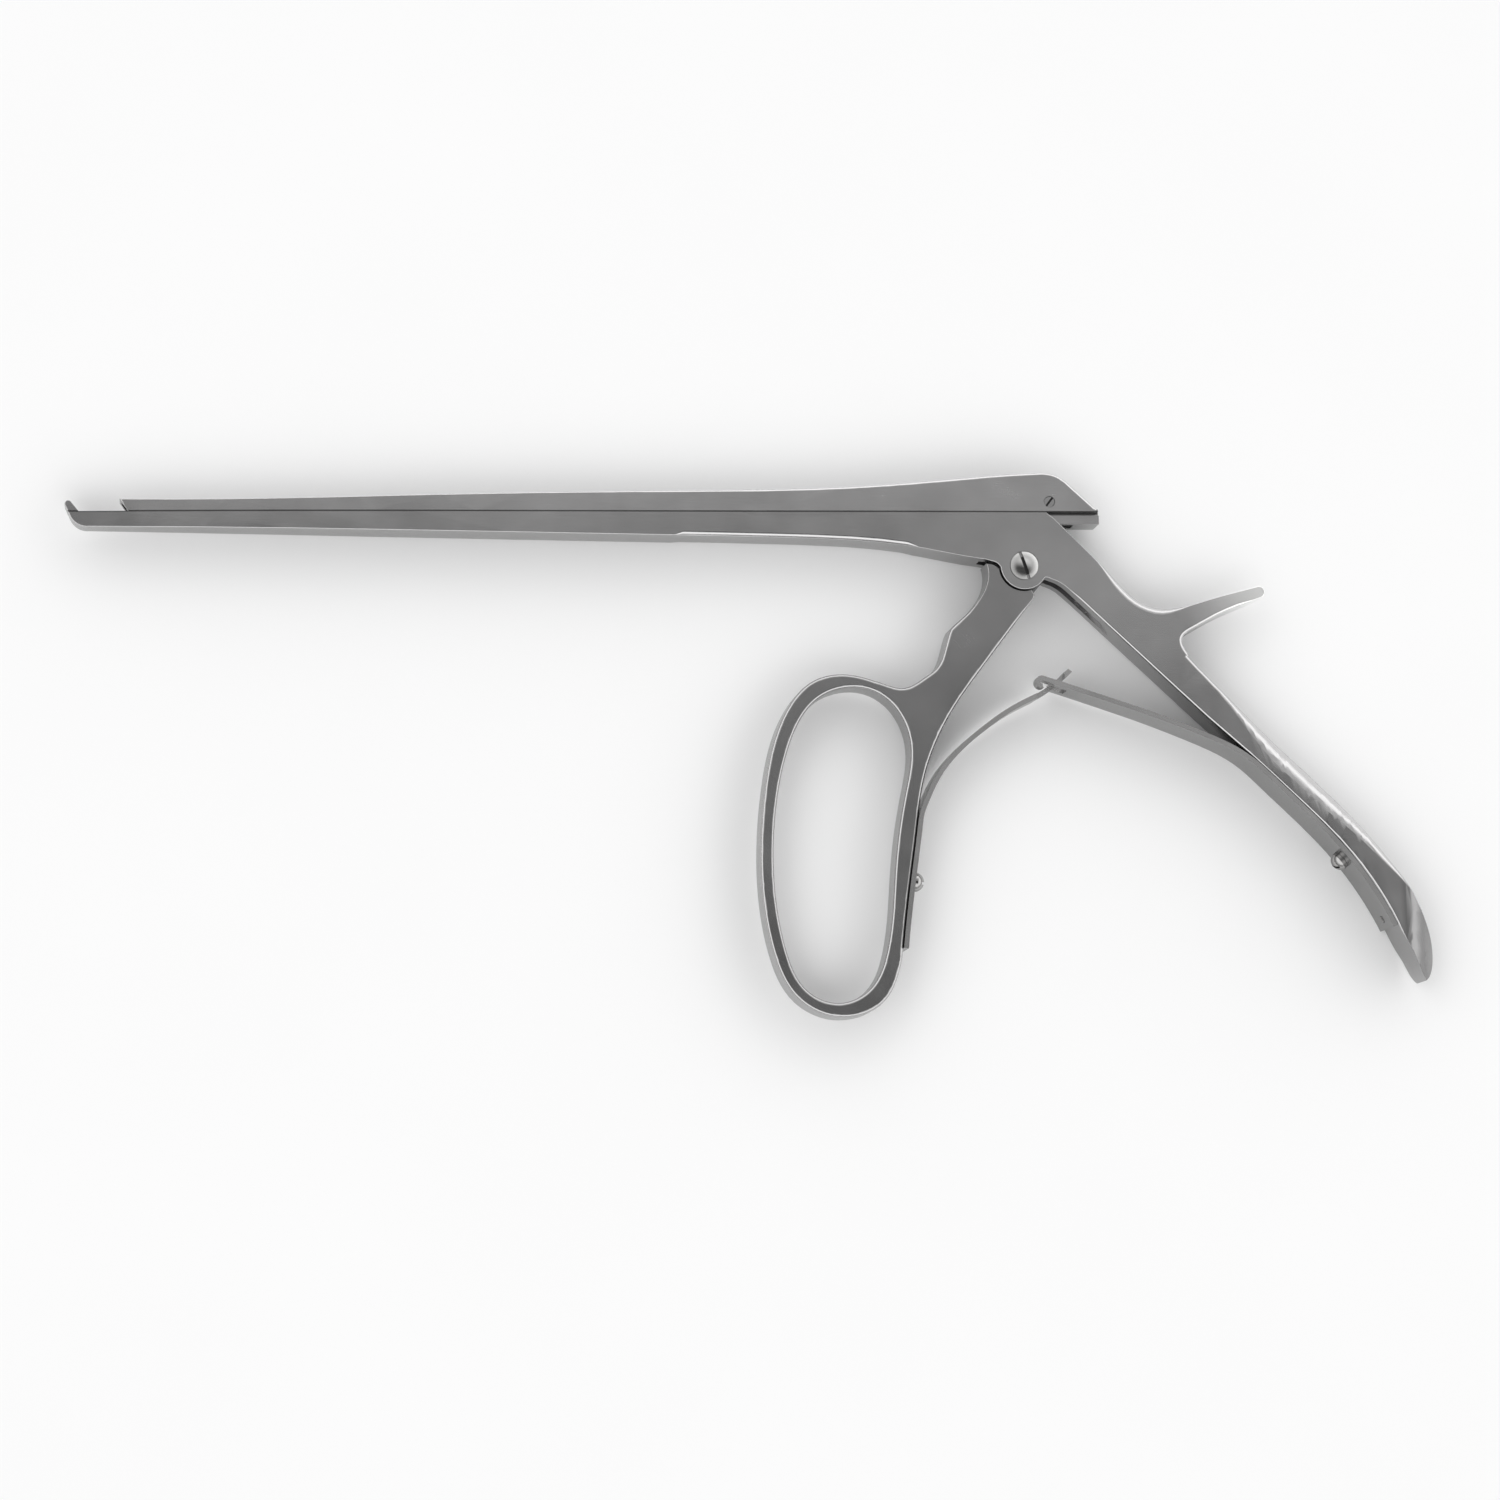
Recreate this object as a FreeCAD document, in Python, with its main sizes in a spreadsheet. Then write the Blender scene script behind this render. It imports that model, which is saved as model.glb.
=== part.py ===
import FreeCAD, Part
import Sketcher
import os
from FreeCAD import Placement, Rotation, Vector
from math import atan2, cos, degrees, hypot, radians, sin, tan

# Bone rongeur with a sliding upper shaft, a ring handle and two leaf springs, lying on its side.
# X runs backwards from the footplate, Y is up in the hand, Z is across the instrument.
# The pivot's axis is X = 0, Y = 0, and Z = 0 is the outer face of the lower cheek.
# All lengths are in millimetres and all angles in degrees.

SIZES = {
    # Widths across the instrument
    "cheek_width": 8.8,
    "tip_width": 4.6,
    "neck_width": 6.8,
    "waist_width": 8.3,
    "tail_width": 11.0,
    "arm_width": 7.0,
    "tongue_width": 3.0,
    # The shaft and the jaw
    "split_height": 10.8,
    "jaw_root": 184.2,
    "jaw_gap": 9.6,
    "jaw_rest": 0.05,
    "plate_top": 13.4,
    "plate_lean": 36.0,
    "plate_thickness": 1.4,
    "tip_floor": 7.75,
    "shaft_reach": 187.0,
    "neck_reach": 155.0,
    "waist_reach": 50.0,
    "waist_floor": 5.65,
    "heel_reach": 7.5,
    "heel_floor": 1.2,
    # The slide
    "slide_tip_top": 13.2,
    "slide_heel_top": 18.7,
    "slide_end": 15.1,
    "cup_radius": 1.5,
    "cup_depth": 5.0,
    # The two T rails under the slide
    "rail_neck": 4.4,
    "rail_flange": 6.0,
    "rail_gap_height": 0.5,
    "rail_depth": 2.2,
    "rail_front": 12.0,
    "nose_rail_neck": 1.8,
    "nose_rail_flange": 3.0,
    "nose_rail_depth": 1.3,
    "nose_rail_reach": 165.0,
    "nose_rail_length": 14.0,
    "rail_play": 0.06,
    # The pivot and the tongue
    "cheek_radius": 4.7,
    "pivot_radius": 1.8,
    "pivot_play": 0.04,
    "pivot_head_radius": 2.8,
    "pivot_head_recess": 0.5,
    "pivot_head_rise": 0.75,
    "pivot_slot_width": 0.7,
    "slot_play": 0.15,
    "slot_front": 8.6,
    "tongue_boss": 6.4,
    "fork_half_width": 2.6,
    "fork_reach": 15.2,
    "fork_root": 11.4,
    "fork_play": 0.18,
    "drive_pin_back": 5.4,
    "drive_pin_height": 12.8,
    "drive_pin_radius": 1.1,
    "shoulder_play": 0.18,
    # The leaf springs
    "leaf_thickness": 0.95,
    "seat_gap": 0.05,
    "front_leaf_width": 7.6,
    "front_leaf_end_width": 7.0,
    "front_tongue_width": 3.0,
    "front_head_width": 5.6,
    "rear_leaf_width": 10.2,
    "rear_leaf_end_width": 8.8,
    "eye_radius": 1.25,
    "eye_back": 2.75,
    "eye_drop": 23.15,
    "window_play": 0.45,
    # Screws and pins that hold the leaves
    "screw_radius": 1.2,
    "screw_head_radius": 1.85,
    "screw_head_height": 2.1,
    "screw_grip": 3.2,
    "screw_slot_width": 0.5,
    "screw_slot_depth": 0.6,
    "pin_radius": 0.7,
    "pin_grip": 2.2,
    "pin_proud": 0.25,
    "hole_play": 0.1,
    "fit_play": 0.02,
    # The rear handle's spur and edges
    # The front handle's edges
}


class Size(float):
    """A number that remembers the sheet formula it comes from."""

    def __new__(cls, value, formula):
        size = super().__new__(cls, value)
        size.formula = formula
        return size

    def __add__(self, other):
        return Size(float(self) + float(other), f"({self.formula} + {formula(other)})")

    def __radd__(self, other):
        return Size(float(other) + float(self), f"({formula(other)} + {self.formula})")

    def __sub__(self, other):
        return Size(float(self) - float(other), f"({self.formula} - {formula(other)})")

    def __rsub__(self, other):
        return Size(float(other) - float(self), f"({formula(other)} - {self.formula})")

    def __mul__(self, other):
        return Size(float(self) * float(other), f"({self.formula} * {formula(other)})")

    def __rmul__(self, other):
        return Size(float(other) * float(self), f"({formula(other)} * {self.formula})")

    def __truediv__(self, other):
        return Size(float(self) / float(other), f"({self.formula} / {formula(other)})")

    def __neg__(self):
        return Size(-float(self), f"(-{self.formula})")


def formula(number):
    """The text that stands for a number in an expression."""
    if isinstance(number, Size):
        return number.formula
    return repr(round(float(number), 6))


class Sheet:
    """The document's spreadsheet, whose cells read as attributes."""

    def __init__(self, document, sizes):
        self.cells = document.addObject("Spreadsheet::Sheet", "Sizes")
        for row, (alias, value) in enumerate(sizes.items(), start=1):
            self.cells.set(f"A{row}", alias.replace("_", " "))
            self.cells.set(f"B{row}", str(value))
            self.cells.setAlias(f"B{row}", alias)
        document.recompute()

    def __getattr__(self, alias):
        return Size(self.cells.get(alias), f"Sizes.{alias}")


doc = FreeCAD.newDocument("BoneRongeur")
s = Sheet(doc, SIZES)


def bind(item, name, number):
    """Set a property and tie it to the sheet where the number comes from there."""
    setattr(item, name, float(number))
    if isinstance(number, Size):
        item.setExpression(name, number.formula)


def flat(point):
    return Vector(float(point[0]), float(point[1]), 0)


class Outline:
    """A closed outline in a sketch, drawn edge by edge, with its corners held at named sizes."""

    def __init__(self, sketch, start):
        self.sketch = sketch
        self.start = start
        self.at = start
        self.edges = []

    def add(self, geometry, end):
        index = self.sketch.addGeometry(geometry, False)
        first = 1 if (self.sketch.getPoint(index, 1) - flat(self.at)).Length < 1e-4 else 2
        self.edges.append((index, first, self.at))
        self.at = end
        return self

    def line(self, *ends):
        for end in ends:
            self.add(Part.LineSegment(flat(self.at), flat(end)), end)
        return self

    def arc(self, through, end):
        return self.add(Part.Arc(flat(self.at), flat(through), flat(end)), end)

    def curve(self, *points, leave=None, arrive=None):
        """A smooth curve through the points, tangent to the two directions where they are given."""
        spline = Part.BSplineCurve()
        places = [flat(point) for point in (self.at,) + points]
        if leave and arrive:
            spline.interpolate(Points=places, InitialTangent=flat(leave).normalize(),
                               FinalTangent=flat(arrive).normalize(), Scale=False)
        else:
            spline.interpolate(Points=places)
        return self.add(spline, points[-1])

    def dome(self, crown):
        """A spherical cap from the rim, where the outline is, to the crown on the Y axis."""
        rim, rise = float(self.at[0]), float(crown - self.at[1])
        ball = (rim * rim + rise * rise) / (2 * rise)
        half_angle = atan2(rim, ball - rise) / 2
        through = (ball * sin(half_angle), float(crown) - ball + ball * cos(half_angle))
        return self.arc(through, (0.0, crown))

    def close(self):
        if (flat(self.at) - flat(self.start)).Length > 1e-6:
            self.line(self.start)
        for place, (index, first, corner) in enumerate(self.edges):
            before, before_first, _ = self.edges[place - 1]
            join = Sketcher.Constraint("Coincident", before, 3 - before_first, index, first)
            self.sketch.addConstraint(join)
            for kind, number in zip(("DistanceX", "DistanceY"), corner):
                hold = Sketcher.Constraint(kind, -1, 1, index, first, float(number))
                held = self.sketch.addConstraint(hold)
                if isinstance(number, Size):
                    self.sketch.setExpression(f"Constraints[{held}]", number.formula)
        return self.sketch


def new_body(name, label=None):
    body = doc.addObject("PartDesign::Body", name)
    body.Label = label or name
    return body


def new_sketch(body, plane, name, offset=0.0):
    """A sketch on one of the body's own origin planes, moved along that plane's normal."""
    sketch = body.newObject("Sketcher::SketchObject", name)
    origin = {feature.Role: feature for feature in body.Origin.OriginFeatures}
    sketch.AttachmentSupport = [(origin[plane], "")]
    sketch.MapMode = "FlatFace"
    sketch.AttachmentOffset = Placement(Vector(0, 0, float(offset)), Rotation())
    if isinstance(offset, Size):
        sketch.setExpression("AttachmentOffset.Base.z", offset.formula)
    return sketch


def rectangle(sketch, low_x, high_x, low_y, high_y):
    corners = [(high_x, low_y), (high_x, high_y), (low_x, high_y)]
    return Outline(sketch, (low_x, low_y)).line(*corners).close()


def circle(sketch, centre, radius):
    index = sketch.addGeometry(Part.Circle(flat(centre), Vector(0, 0, 1), float(radius)), False)
    for kind, number in zip(("DistanceX", "DistanceY"), centre):
        held = sketch.addConstraint(Sketcher.Constraint(kind, -1, 1, index, 3, float(number)))
        if isinstance(number, Size):
            sketch.setExpression(f"Constraints[{held}]", number.formula)
    held = sketch.addConstraint(Sketcher.Constraint("Radius", index, float(radius)))
    if isinstance(radius, Size):
        sketch.setExpression(f"Constraints[{held}]", radius.formula)
    return sketch


def pad(body, sketch, length, name, both_ways=True, reverse=False):
    feature = body.newObject("PartDesign::Pad", name)
    feature.Profile = sketch
    bind(feature, "Length", length)
    feature.SideType = "Symmetric" if both_ways else "One side"
    feature.Reversed = reverse
    return settle(body, feature)


def pocket(body, sketch, length, name, both_ways=True, reverse=False):
    """A pocket that has to change the body's faces."""
    before = [face.Area for face in body.Shape.Faces]
    feature = body.newObject("PartDesign::Pocket", name)
    feature.Profile = sketch
    bind(feature, "Length", length)
    feature.SideType = "Symmetric" if both_ways else "One side"
    feature.Reversed = reverse
    settle(body, feature)
    if [face.Area for face in body.Shape.Faces] == before:
        raise RuntimeError(f"{name} cuts nothing")
    return feature


def settle(body, feature):
    doc.recompute()
    if "Invalid" in feature.State or "Error" in feature.State or not feature.Shape.isValid():
        raise RuntimeError(f"{body.Label}: {feature.Name} failed")
    return feature


def spin(body, sketch, name):
    """Turn a half profile about the sketch's own upright axis."""
    feature = body.newObject("PartDesign::Revolution", name)
    feature.Profile = sketch
    feature.ReferenceAxis = (sketch, ["V_Axis"])
    feature.Angle = 360.0
    return settle(body, feature)


def lift(body):
    """Stand the body, drawn about the instrument's middle plane, on the lower cheek's face."""
    body.Placement = Placement(Vector(0, 0, float(s.cheek_width / 2)), Rotation())
    body.setExpression("Placement.Base.z", (s.cheek_width / 2).formula)


class Seat:
    """The curved line of a handle that a leaf spring lies on, and its offsets."""

    def __init__(self, *points, outward):
        self.curve = Part.BSplineCurve()
        self.curve.interpolate(Points=[flat(point) for point in points])
        self.points = points
        self.outward = outward
        self.start, self.end = points[0], points[-1]
        self.leave, self.arrive = self.along(self.start), self.along(self.end)

    def along(self, point):
        tangent = self.curve.tangent(self.curve.parameter(flat(point)))[0]
        return (tangent.x, tangent.y)

    def normal(self, point):
        """The direction away from the handle."""
        x, y = self.along(point)
        return (-y * self.outward, x * self.outward)

    def at(self, point, rise):
        """A point that far away from the handle, above the seat."""
        foot = self.curve.value(self.curve.parameter(flat(point)))
        x, y = self.normal(point)
        return (foot.x + x * float(rise), foot.y + y * float(rise))

    def into(self, point):
        x, y = self.normal(point)
        return (-x, -y)


# The lines that the leaf springs lie on, from the joint's end to the handles' ends
FRONT_SEAT = Seat((-22.4, -50.0), (-23.3, -56.1), (-24.3, -62.5), (-25.2, -68.8), (-26.15, -76.8), outward=1)
REAR_SEAT = Seat((47.5, -41.1), (54.5, -47.9), (62.2, -56.0), (68.2, -64.2), (73.1, -73.4), outward=-1)

LEAN = tan(radians(s.plate_lean))
SHAFT_HALF = s.cheek_width / 2
TIP_HALF = s.tip_width / 2
NECK_HALF = s.neck_width / 2
WAIST_HALF = s.waist_width / 2


def side_cut(body, name, reach):
    """Bring the shaft's sides in from the cheeks to the narrow tip."""
    out = s.cheek_width + s.tail_width
    for side in (1, -1):
        sketch = new_sketch(body, "XZ_Plane", f"{name}_{'upper' if side > 0 else 'lower'}")
        outline = Outline(sketch, (-reach, side * TIP_HALF))
        outline.line((-s.shaft_reach, side * TIP_HALF))
        outline.curve((-s.neck_reach, side * NECK_HALF), (-s.waist_reach, side * WAIST_HALF),
                      (-s.heel_reach, side * SHAFT_HALF), leave=(1, side * 0.038), arrive=(1, 0))
        outline.line((-s.heel_reach, side * out), (-reach, side * out))
        outline.close()
        pocket(body, sketch, 60.0, f"{name}_cut_{'upper' if side > 0 else 'lower'}")


def frame_outline(sketch):
    """The frame's side view: footplate, lower shaft, cheek, rear handle with its spur."""
    inner_x, split = -s.jaw_root, s.split_height
    lean = radians(s.plate_lean)
    cap = s.plate_thickness / 2
    rise = s.plate_top - split - cap
    outline = Outline(sketch, (inner_x, split))
    outline.line((inner_x - rise * LEAN, split + rise))
    middle_x, middle_y = inner_x - rise * LEAN - cap * cos(lean), split + rise - cap * sin(lean)
    outline.arc((middle_x - cap * sin(lean), middle_y + cap * cos(lean)),
                (middle_x - cap * cos(lean), middle_y - cap * sin(lean)))
    outline.line((inner_x - 1.65, s.tip_floor + 2.15))
    outline.arc((inner_x - 0.75, s.tip_floor + 0.9), (inner_x + 2.0, s.tip_floor))
    outline.curve((-150.0, 7.4), (-100.0, 6.55), (-s.waist_reach, s.waist_floor), (-34.6, 5.1), (-22.7, 3.9),
                  (-13.2, 2.1), (-s.heel_reach, s.heel_floor), leave=(1, -0.008), arrive=(1, -0.12))
    outline.line((-6.1, 0.8))
    outline.arc((-5.3, 0.4), (-s.cheek_radius, -0.35))
    turn = radians(-30)
    outline.arc((0.0, -s.cheek_radius), (s.cheek_radius * cos(turn), s.cheek_radius * sin(turn)))
    outline.arc((4.6, -2.4), (5.3, -2.7))
    outline.curve((7.0, -3.4), (8.6, -4.6), leave=(1, -0.2), arrive=(1, -0.95))
    outline.line((28.9, -23.9))
    outline.curve((36.3, -30.9), REAR_SEAT.start, leave=(1, -0.955), arrive=REAR_SEAT.leave)
    outline.curve(*REAR_SEAT.points[1:], leave=REAR_SEAT.leave, arrive=REAR_SEAT.arrive)
    outline.curve((75.8, -78.4), (78.0, -82.6), leave=REAR_SEAT.arrive, arrive=(1, -1))
    outline.curve((79.9, -78.0), (78.4, -71.0), (73.1, -61.5), (65.9, -51.9), (56.8, -42.2), (46.6, -32.5),
                  (36.8, -22.9), (31.3, -16.9), leave=(1, 0.8), arrive=(-1, 1.13))
    outline.line((28.6, -11.6), (22.6, -7.1))
    outline.line((6.1, 9.6))
    outline.arc((5.4, 10.1), (4.5, split))
    return outline.close()


def spur_outline(sketch):
    """The spur that rests in the web of the thumb, with its root inside the handle."""
    outline = Outline(sketch, (47.4, -3.8))
    outline.curve((37.0, -6.7), (29.4, -8.5), (24.6, -7.8), (21.0, -5.5), leave=(-1, -0.28), arrive=(-1, 0.98))
    outline.line((18.9, -8.0), (30.9, -20.6), (32.6, -17.8))
    outline.curve((31.3, -14.6), (33.9, -12.5), (38.3, -10.1), (44.4, -7.5), (48.0, -6.0),
                  leave=(-0.7, 1.0), arrive=(1, 0.42))
    outline.arc((48.5, -4.7), (47.4, -3.8))
    return outline.close()


def handle_sides(body):
    """Widen the rear handle from the spur to its rounded tail."""
    half, wide = s.cheek_width / 2, s.tail_width / 2
    out = wide + 4
    for side in (1, -1):
        sketch = new_sketch(body, "XZ_Plane", f"tail_side_{'upper' if side > 0 else 'lower'}")
        outline = Outline(sketch, (-s.heel_reach, side * half))
        outline.line((30.0, side * half))
        outline.curve((45.0, side * (half + 0.4)), (57.0, side * (wide - 0.4)), (67.0, side * wide),
                      leave=(1, 0), arrive=(1, 0))
        outline.line((74.0, side * wide))
        outline.curve((77.6, side * (wide - 1.6)), (80.0, side * (wide - 4.0)), leave=(1, 0),
                      arrive=(1, -side * 1.6))
        outline.line((80.0, side * out), (-s.heel_reach, side * out))
        outline.close()
        pocket(body, sketch, 240.0, f"tail_cut_{'upper' if side > 0 else 'lower'}")


def tee_groove(body, name, end_x, length, neck, flange, depth, play):
    """An undercut groove along the top of the shaft, running forward from end_x."""
    split = s.split_height
    lip = split - s.rail_gap_height
    sketch = new_sketch(body, "YZ_Plane", name, end_x)
    neck_half = neck / 2 + play
    flange_half = flange / 2 + play
    floor = split - depth - play
    outline = Outline(sketch, (split + 1, -neck_half))
    outline.line((lip + play, -neck_half), (lip + play, -flange_half), (floor, -flange_half),
                 (floor, flange_half), (lip + play, flange_half), (lip + play, neck_half),
                 (split + 1, neck_half))
    outline.close()
    return pocket(body, sketch, length, f"{name}_cut", both_ways=False)


def tee_rail(body, name, end_x, length, neck, flange, depth):
    """The matching rail under the slide."""
    split = s.split_height
    lip = split - s.rail_gap_height
    sketch = new_sketch(body, "YZ_Plane", name, end_x)
    outline = Outline(sketch, (split + 0.4, -neck / 2))
    outline.line((lip, -neck / 2), (lip, -flange / 2), (split - depth, -flange / 2), (split - depth, flange / 2),
                 (lip, flange / 2), (lip, neck / 2), (split + 0.4, neck / 2))
    outline.close()
    return pad(body, sketch, length, f"{name}_pad", both_ways=False, reverse=True)


def drill(body, name, foot, way, radius, depth, out):
    """A round hole whose axis lies in the middle plane, sunk from a point along a direction."""
    sketch = body.newObject("Sketcher::SketchObject", name)
    sketch.MapMode = "Deactivated"
    mouth = Vector(foot[0] - way[0] * out, foot[1] - way[1] * out, 0)
    sketch.Placement = Placement(mouth, Rotation(Vector(0, 0, 1), Vector(-way[0], -way[1], 0)))
    circle(sketch, (0.0, 0.0), radius)
    return pocket(body, sketch, depth + out, f"{name}_cut", both_ways=False)


# Where each leaf's screw and pin stand on its seat
FRONT_SCREW_SPOT = FRONT_SEAT.at((-24.2, -61.8), 0)
FRONT_PIN_SPOT = FRONT_SEAT.at((-25.8, -73.9), 0)
REAR_SCREW_SPOT = REAR_SEAT.at((63.5, -57.5), 0)
REAR_PIN_SPOT = REAR_SEAT.at((71.2, -69.8), 0)


def make_frame():
    """One forging: footplate, lower shaft, two cheeks and the rear handle with its spur."""
    body = new_body("frame")
    pad(body, frame_outline(new_sketch(body, "XY_Plane", "side_view")), s.tail_width, "blank")
    side_cut(body, "shaft_side", 190.0)
    handle_sides(body)
    spur = spur_outline(new_sketch(body, "XY_Plane", "spur_view"))
    pad(body, spur, s.cheek_width, "spur")
    slot = new_sketch(body, "XY_Plane", "tongue_slot")
    outline = Outline(slot, (-s.slot_front, -2.0))
    outline.line((-s.slot_front, s.split_height + 1), (9.2, s.split_height + 1), (7.6, 3.0))
    outline.arc((11.8, -4.8), (18.8, -14.7))
    outline.line((10.2, -16.4), (-3.0, -8.2)).close()
    pocket(body, slot, s.tongue_width + 2 * s.slot_play, "tongue_slot_cut")
    travel = s.jaw_gap
    tee_groove(body, "rear_groove", 12.0, 12.0 + s.rail_front + travel + 1.0, s.rail_neck,
               s.rail_flange, s.rail_depth, s.rail_play)
    nose_end = -s.nose_rail_reach + s.nose_rail_length + 1.0
    tee_groove(body, "nose_groove", nose_end, s.nose_rail_length + travel + 2.0, s.nose_rail_neck,
               s.nose_rail_flange, s.nose_rail_depth, s.rail_play)
    entry = new_sketch(body, "XZ_Plane", "nose_entry")
    half = s.nose_rail_flange / 2 + s.rail_play
    rectangle(entry, nose_end - 0.5, nose_end + s.nose_rail_length, -half, half)
    entry.AttachmentOffset = Placement(Vector(0, 0, -float(s.split_height)), Rotation())
    entry.setExpression("AttachmentOffset.Base.z", (-s.split_height).formula)
    pocket(body, entry, s.nose_rail_depth + s.rail_play, "nose_entry_cut", both_ways=False, reverse=True)
    bore = circle(new_sketch(body, "XY_Plane", "pivot_bore"), (0.0, 0.0), s.pivot_radius + s.fit_play)
    pocket(body, bore, 40.0, "pivot_bore_cut")
    recess = new_sketch(body, "XY_Plane", "head_recess", s.cheek_width / 2)
    circle(recess, (0.0, 0.0), s.pivot_head_radius + s.hole_play)
    pocket(body, recess, s.pivot_head_recess, "head_recess_cut", both_ways=False)
    drill(body, "rear_screw_hole", REAR_SCREW_SPOT, REAR_SEAT.into(REAR_SCREW_SPOT),
          s.screw_radius + s.fit_play, s.screw_grip, 1.0)
    drill(body, "rear_pin_hole", REAR_PIN_SPOT, REAR_SEAT.into(REAR_PIN_SPOT),
          s.pin_radius + s.fit_play, s.pin_grip, 1.0)
    lift(body)
    return body


def make_slide():
    """The upper shaft, which carries the cutting edge and runs on two T rails."""
    body = new_body("slide")
    split = s.split_height
    front = -s.jaw_root + s.jaw_gap
    side = new_sketch(body, "XY_Plane", "side_view")
    outline = Outline(side, (front, split))
    outline.line((front - (s.slide_tip_top - split) * LEAN, s.slide_tip_top))
    outline.curve((-140.0, 13.4), (-111.0, 14.15), (-70.0, 14.9), (-40.0, 15.5), (-22.4, 16.6),
                  (-4.3, s.slide_heel_top - 0.5), (4.0, s.slide_heel_top))
    outline.curve((7.6, 17.8), (9.8, 16.0), leave=(1, 0), arrive=(1, -1))
    outline.line((s.slide_end - 0.7, 11.75))
    outline.arc((s.slide_end - 0.1, 11.3), (s.slide_end, split))
    outline.close()
    pad(body, side, s.cheek_width, "blank")
    side_cut(body, "slide_side", 190.0)
    tee_rail(body, "rear_rail", s.slide_end + 0.4, s.slide_end + 0.4 + s.rail_front, s.rail_neck,
             s.rail_flange, s.rail_depth)
    tee_rail(body, "nose_rail", -s.nose_rail_reach + s.nose_rail_length, s.nose_rail_length,
             s.nose_rail_neck, s.nose_rail_flange, s.nose_rail_depth)
    room = new_sketch(body, "XY_Plane", "tongue_room")
    rectangle(room, s.drive_pin_back - 5.2, s.drive_pin_back + 5.2, 6.0, s.fork_reach + 0.6)
    pocket(body, room, s.tongue_width + 2 * s.slot_play, "tongue_room_cut")
    hole = new_sketch(body, "XY_Plane", "pin_hole")
    circle(hole, (s.drive_pin_back, s.drive_pin_height), s.drive_pin_radius + s.fit_play)
    pocket(body, hole, 40.0, "pin_hole_cut")
    cup = new_sketch(body, "YZ_Plane", "cup", front - 4.0)
    circle(cup, (split + 0.6, 0.0), s.cup_radius)
    pocket(body, cup, s.cup_depth + 4.0, "cup_cut", both_ways=False, reverse=True)
    lift(body)
    return body


def ring_hole(sketch):
    """The finger hole, taller than wide, leaning with the grip."""
    points = [(-35.4, -24.1), (-42.7, -27.3), (-47.8, -36.7), (-50.3, -48.4), (-50.9, -61.2), (-48.9, -75.3),
              (-44.9, -83.3), (-38.7, -85.7), (-32.6, -82.9), (-29.3, -76.0), (-27.2, -59.2), (-24.9, -45.0),
              (-23.6, -35.3), (-26.8, -27.6)]
    spline = Part.BSplineCurve()
    spline.interpolate(Points=[flat(point) for point in points], PeriodicFlag=True)
    sketch.addGeometry(spline, False)
    return sketch


def make_handle():
    """The front handle: ring, arm, and a tongue that ends in a fork round the drive pin."""
    body = new_body("front_handle")
    gap = s.cheek_radius + s.shoulder_play
    side = new_sketch(body, "XY_Plane", "side_view")
    outline = Outline(side, (-7.4, 0.6))
    outline.line((-6.2, 0.4))
    outline.arc((-5.45, 0.0), (-gap, -0.5))
    turn = radians(-73)
    outline.arc((-gap * sin(radians(20)), -gap * cos(radians(20))), (gap * cos(turn), gap * sin(turn)))
    outline.line((2.0, -5.7), (1.8, -6.5), (-8.9, -20.3))
    outline.curve((-14.1, -27.3), (-18.2, -34.5), (-20.8, -41.5), FRONT_SEAT.start,
                  leave=(-10.7, -13.8), arrive=FRONT_SEAT.leave)
    outline.curve(*FRONT_SEAT.points[1:], leave=FRONT_SEAT.leave, arrive=FRONT_SEAT.arrive)
    outline.curve((-26.8, -79.6), (-29.2, -84.7), (-33.2, -87.7), (-38.2, -88.6), leave=FRONT_SEAT.arrive,
                  arrive=(-1, 0))
    outline.curve((-46.9, -84.9), (-51.7, -75.2), (-53.6, -60.0), (-52.4, -43.5), (-47.9, -28.6),
                  (-42.6, -22.8), (-35.6, -21.4), (-29.2, -23.0), leave=(-1, 0), arrive=(1, -0.32))
    outline.curve((-24.4, -24.1), (-20.4, -22.1), (-17.8, -20.0), (-16.4, -17.0), (-14.9, -12.4),
                  leave=(1, -0.32), arrive=(0.5, 1))
    outline.curve((-14.4, -11.9), (-11.6, -9.5), (-9.4, -7.1), (-7.85, -4.7), (-7.15, -2.3), (-7.4, 0.6))
    outline.close()
    pad(body, side, s.arm_width, "blank")
    pocket(body, ring_hole(new_sketch(body, "XY_Plane", "finger_hole")), 40.0, "finger_hole_cut")
    add_tongue(body)
    bore = new_sketch(body, "XY_Plane", "pivot_bore")
    circle(bore, (0.0, 0.0), s.pivot_radius + s.pivot_play)
    pocket(body, bore, 40.0, "pivot_bore_cut")
    drill(body, "front_screw_hole", FRONT_SCREW_SPOT, FRONT_SEAT.into(FRONT_SCREW_SPOT),
          s.screw_radius + s.fit_play, 1.5, 1.0)
    drill(body, "front_pin_hole", FRONT_PIN_SPOT, FRONT_SEAT.into(FRONT_PIN_SPOT),
          s.pin_radius + s.fit_play, 1.3, 1.0)
    lift(body)
    return body


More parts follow.
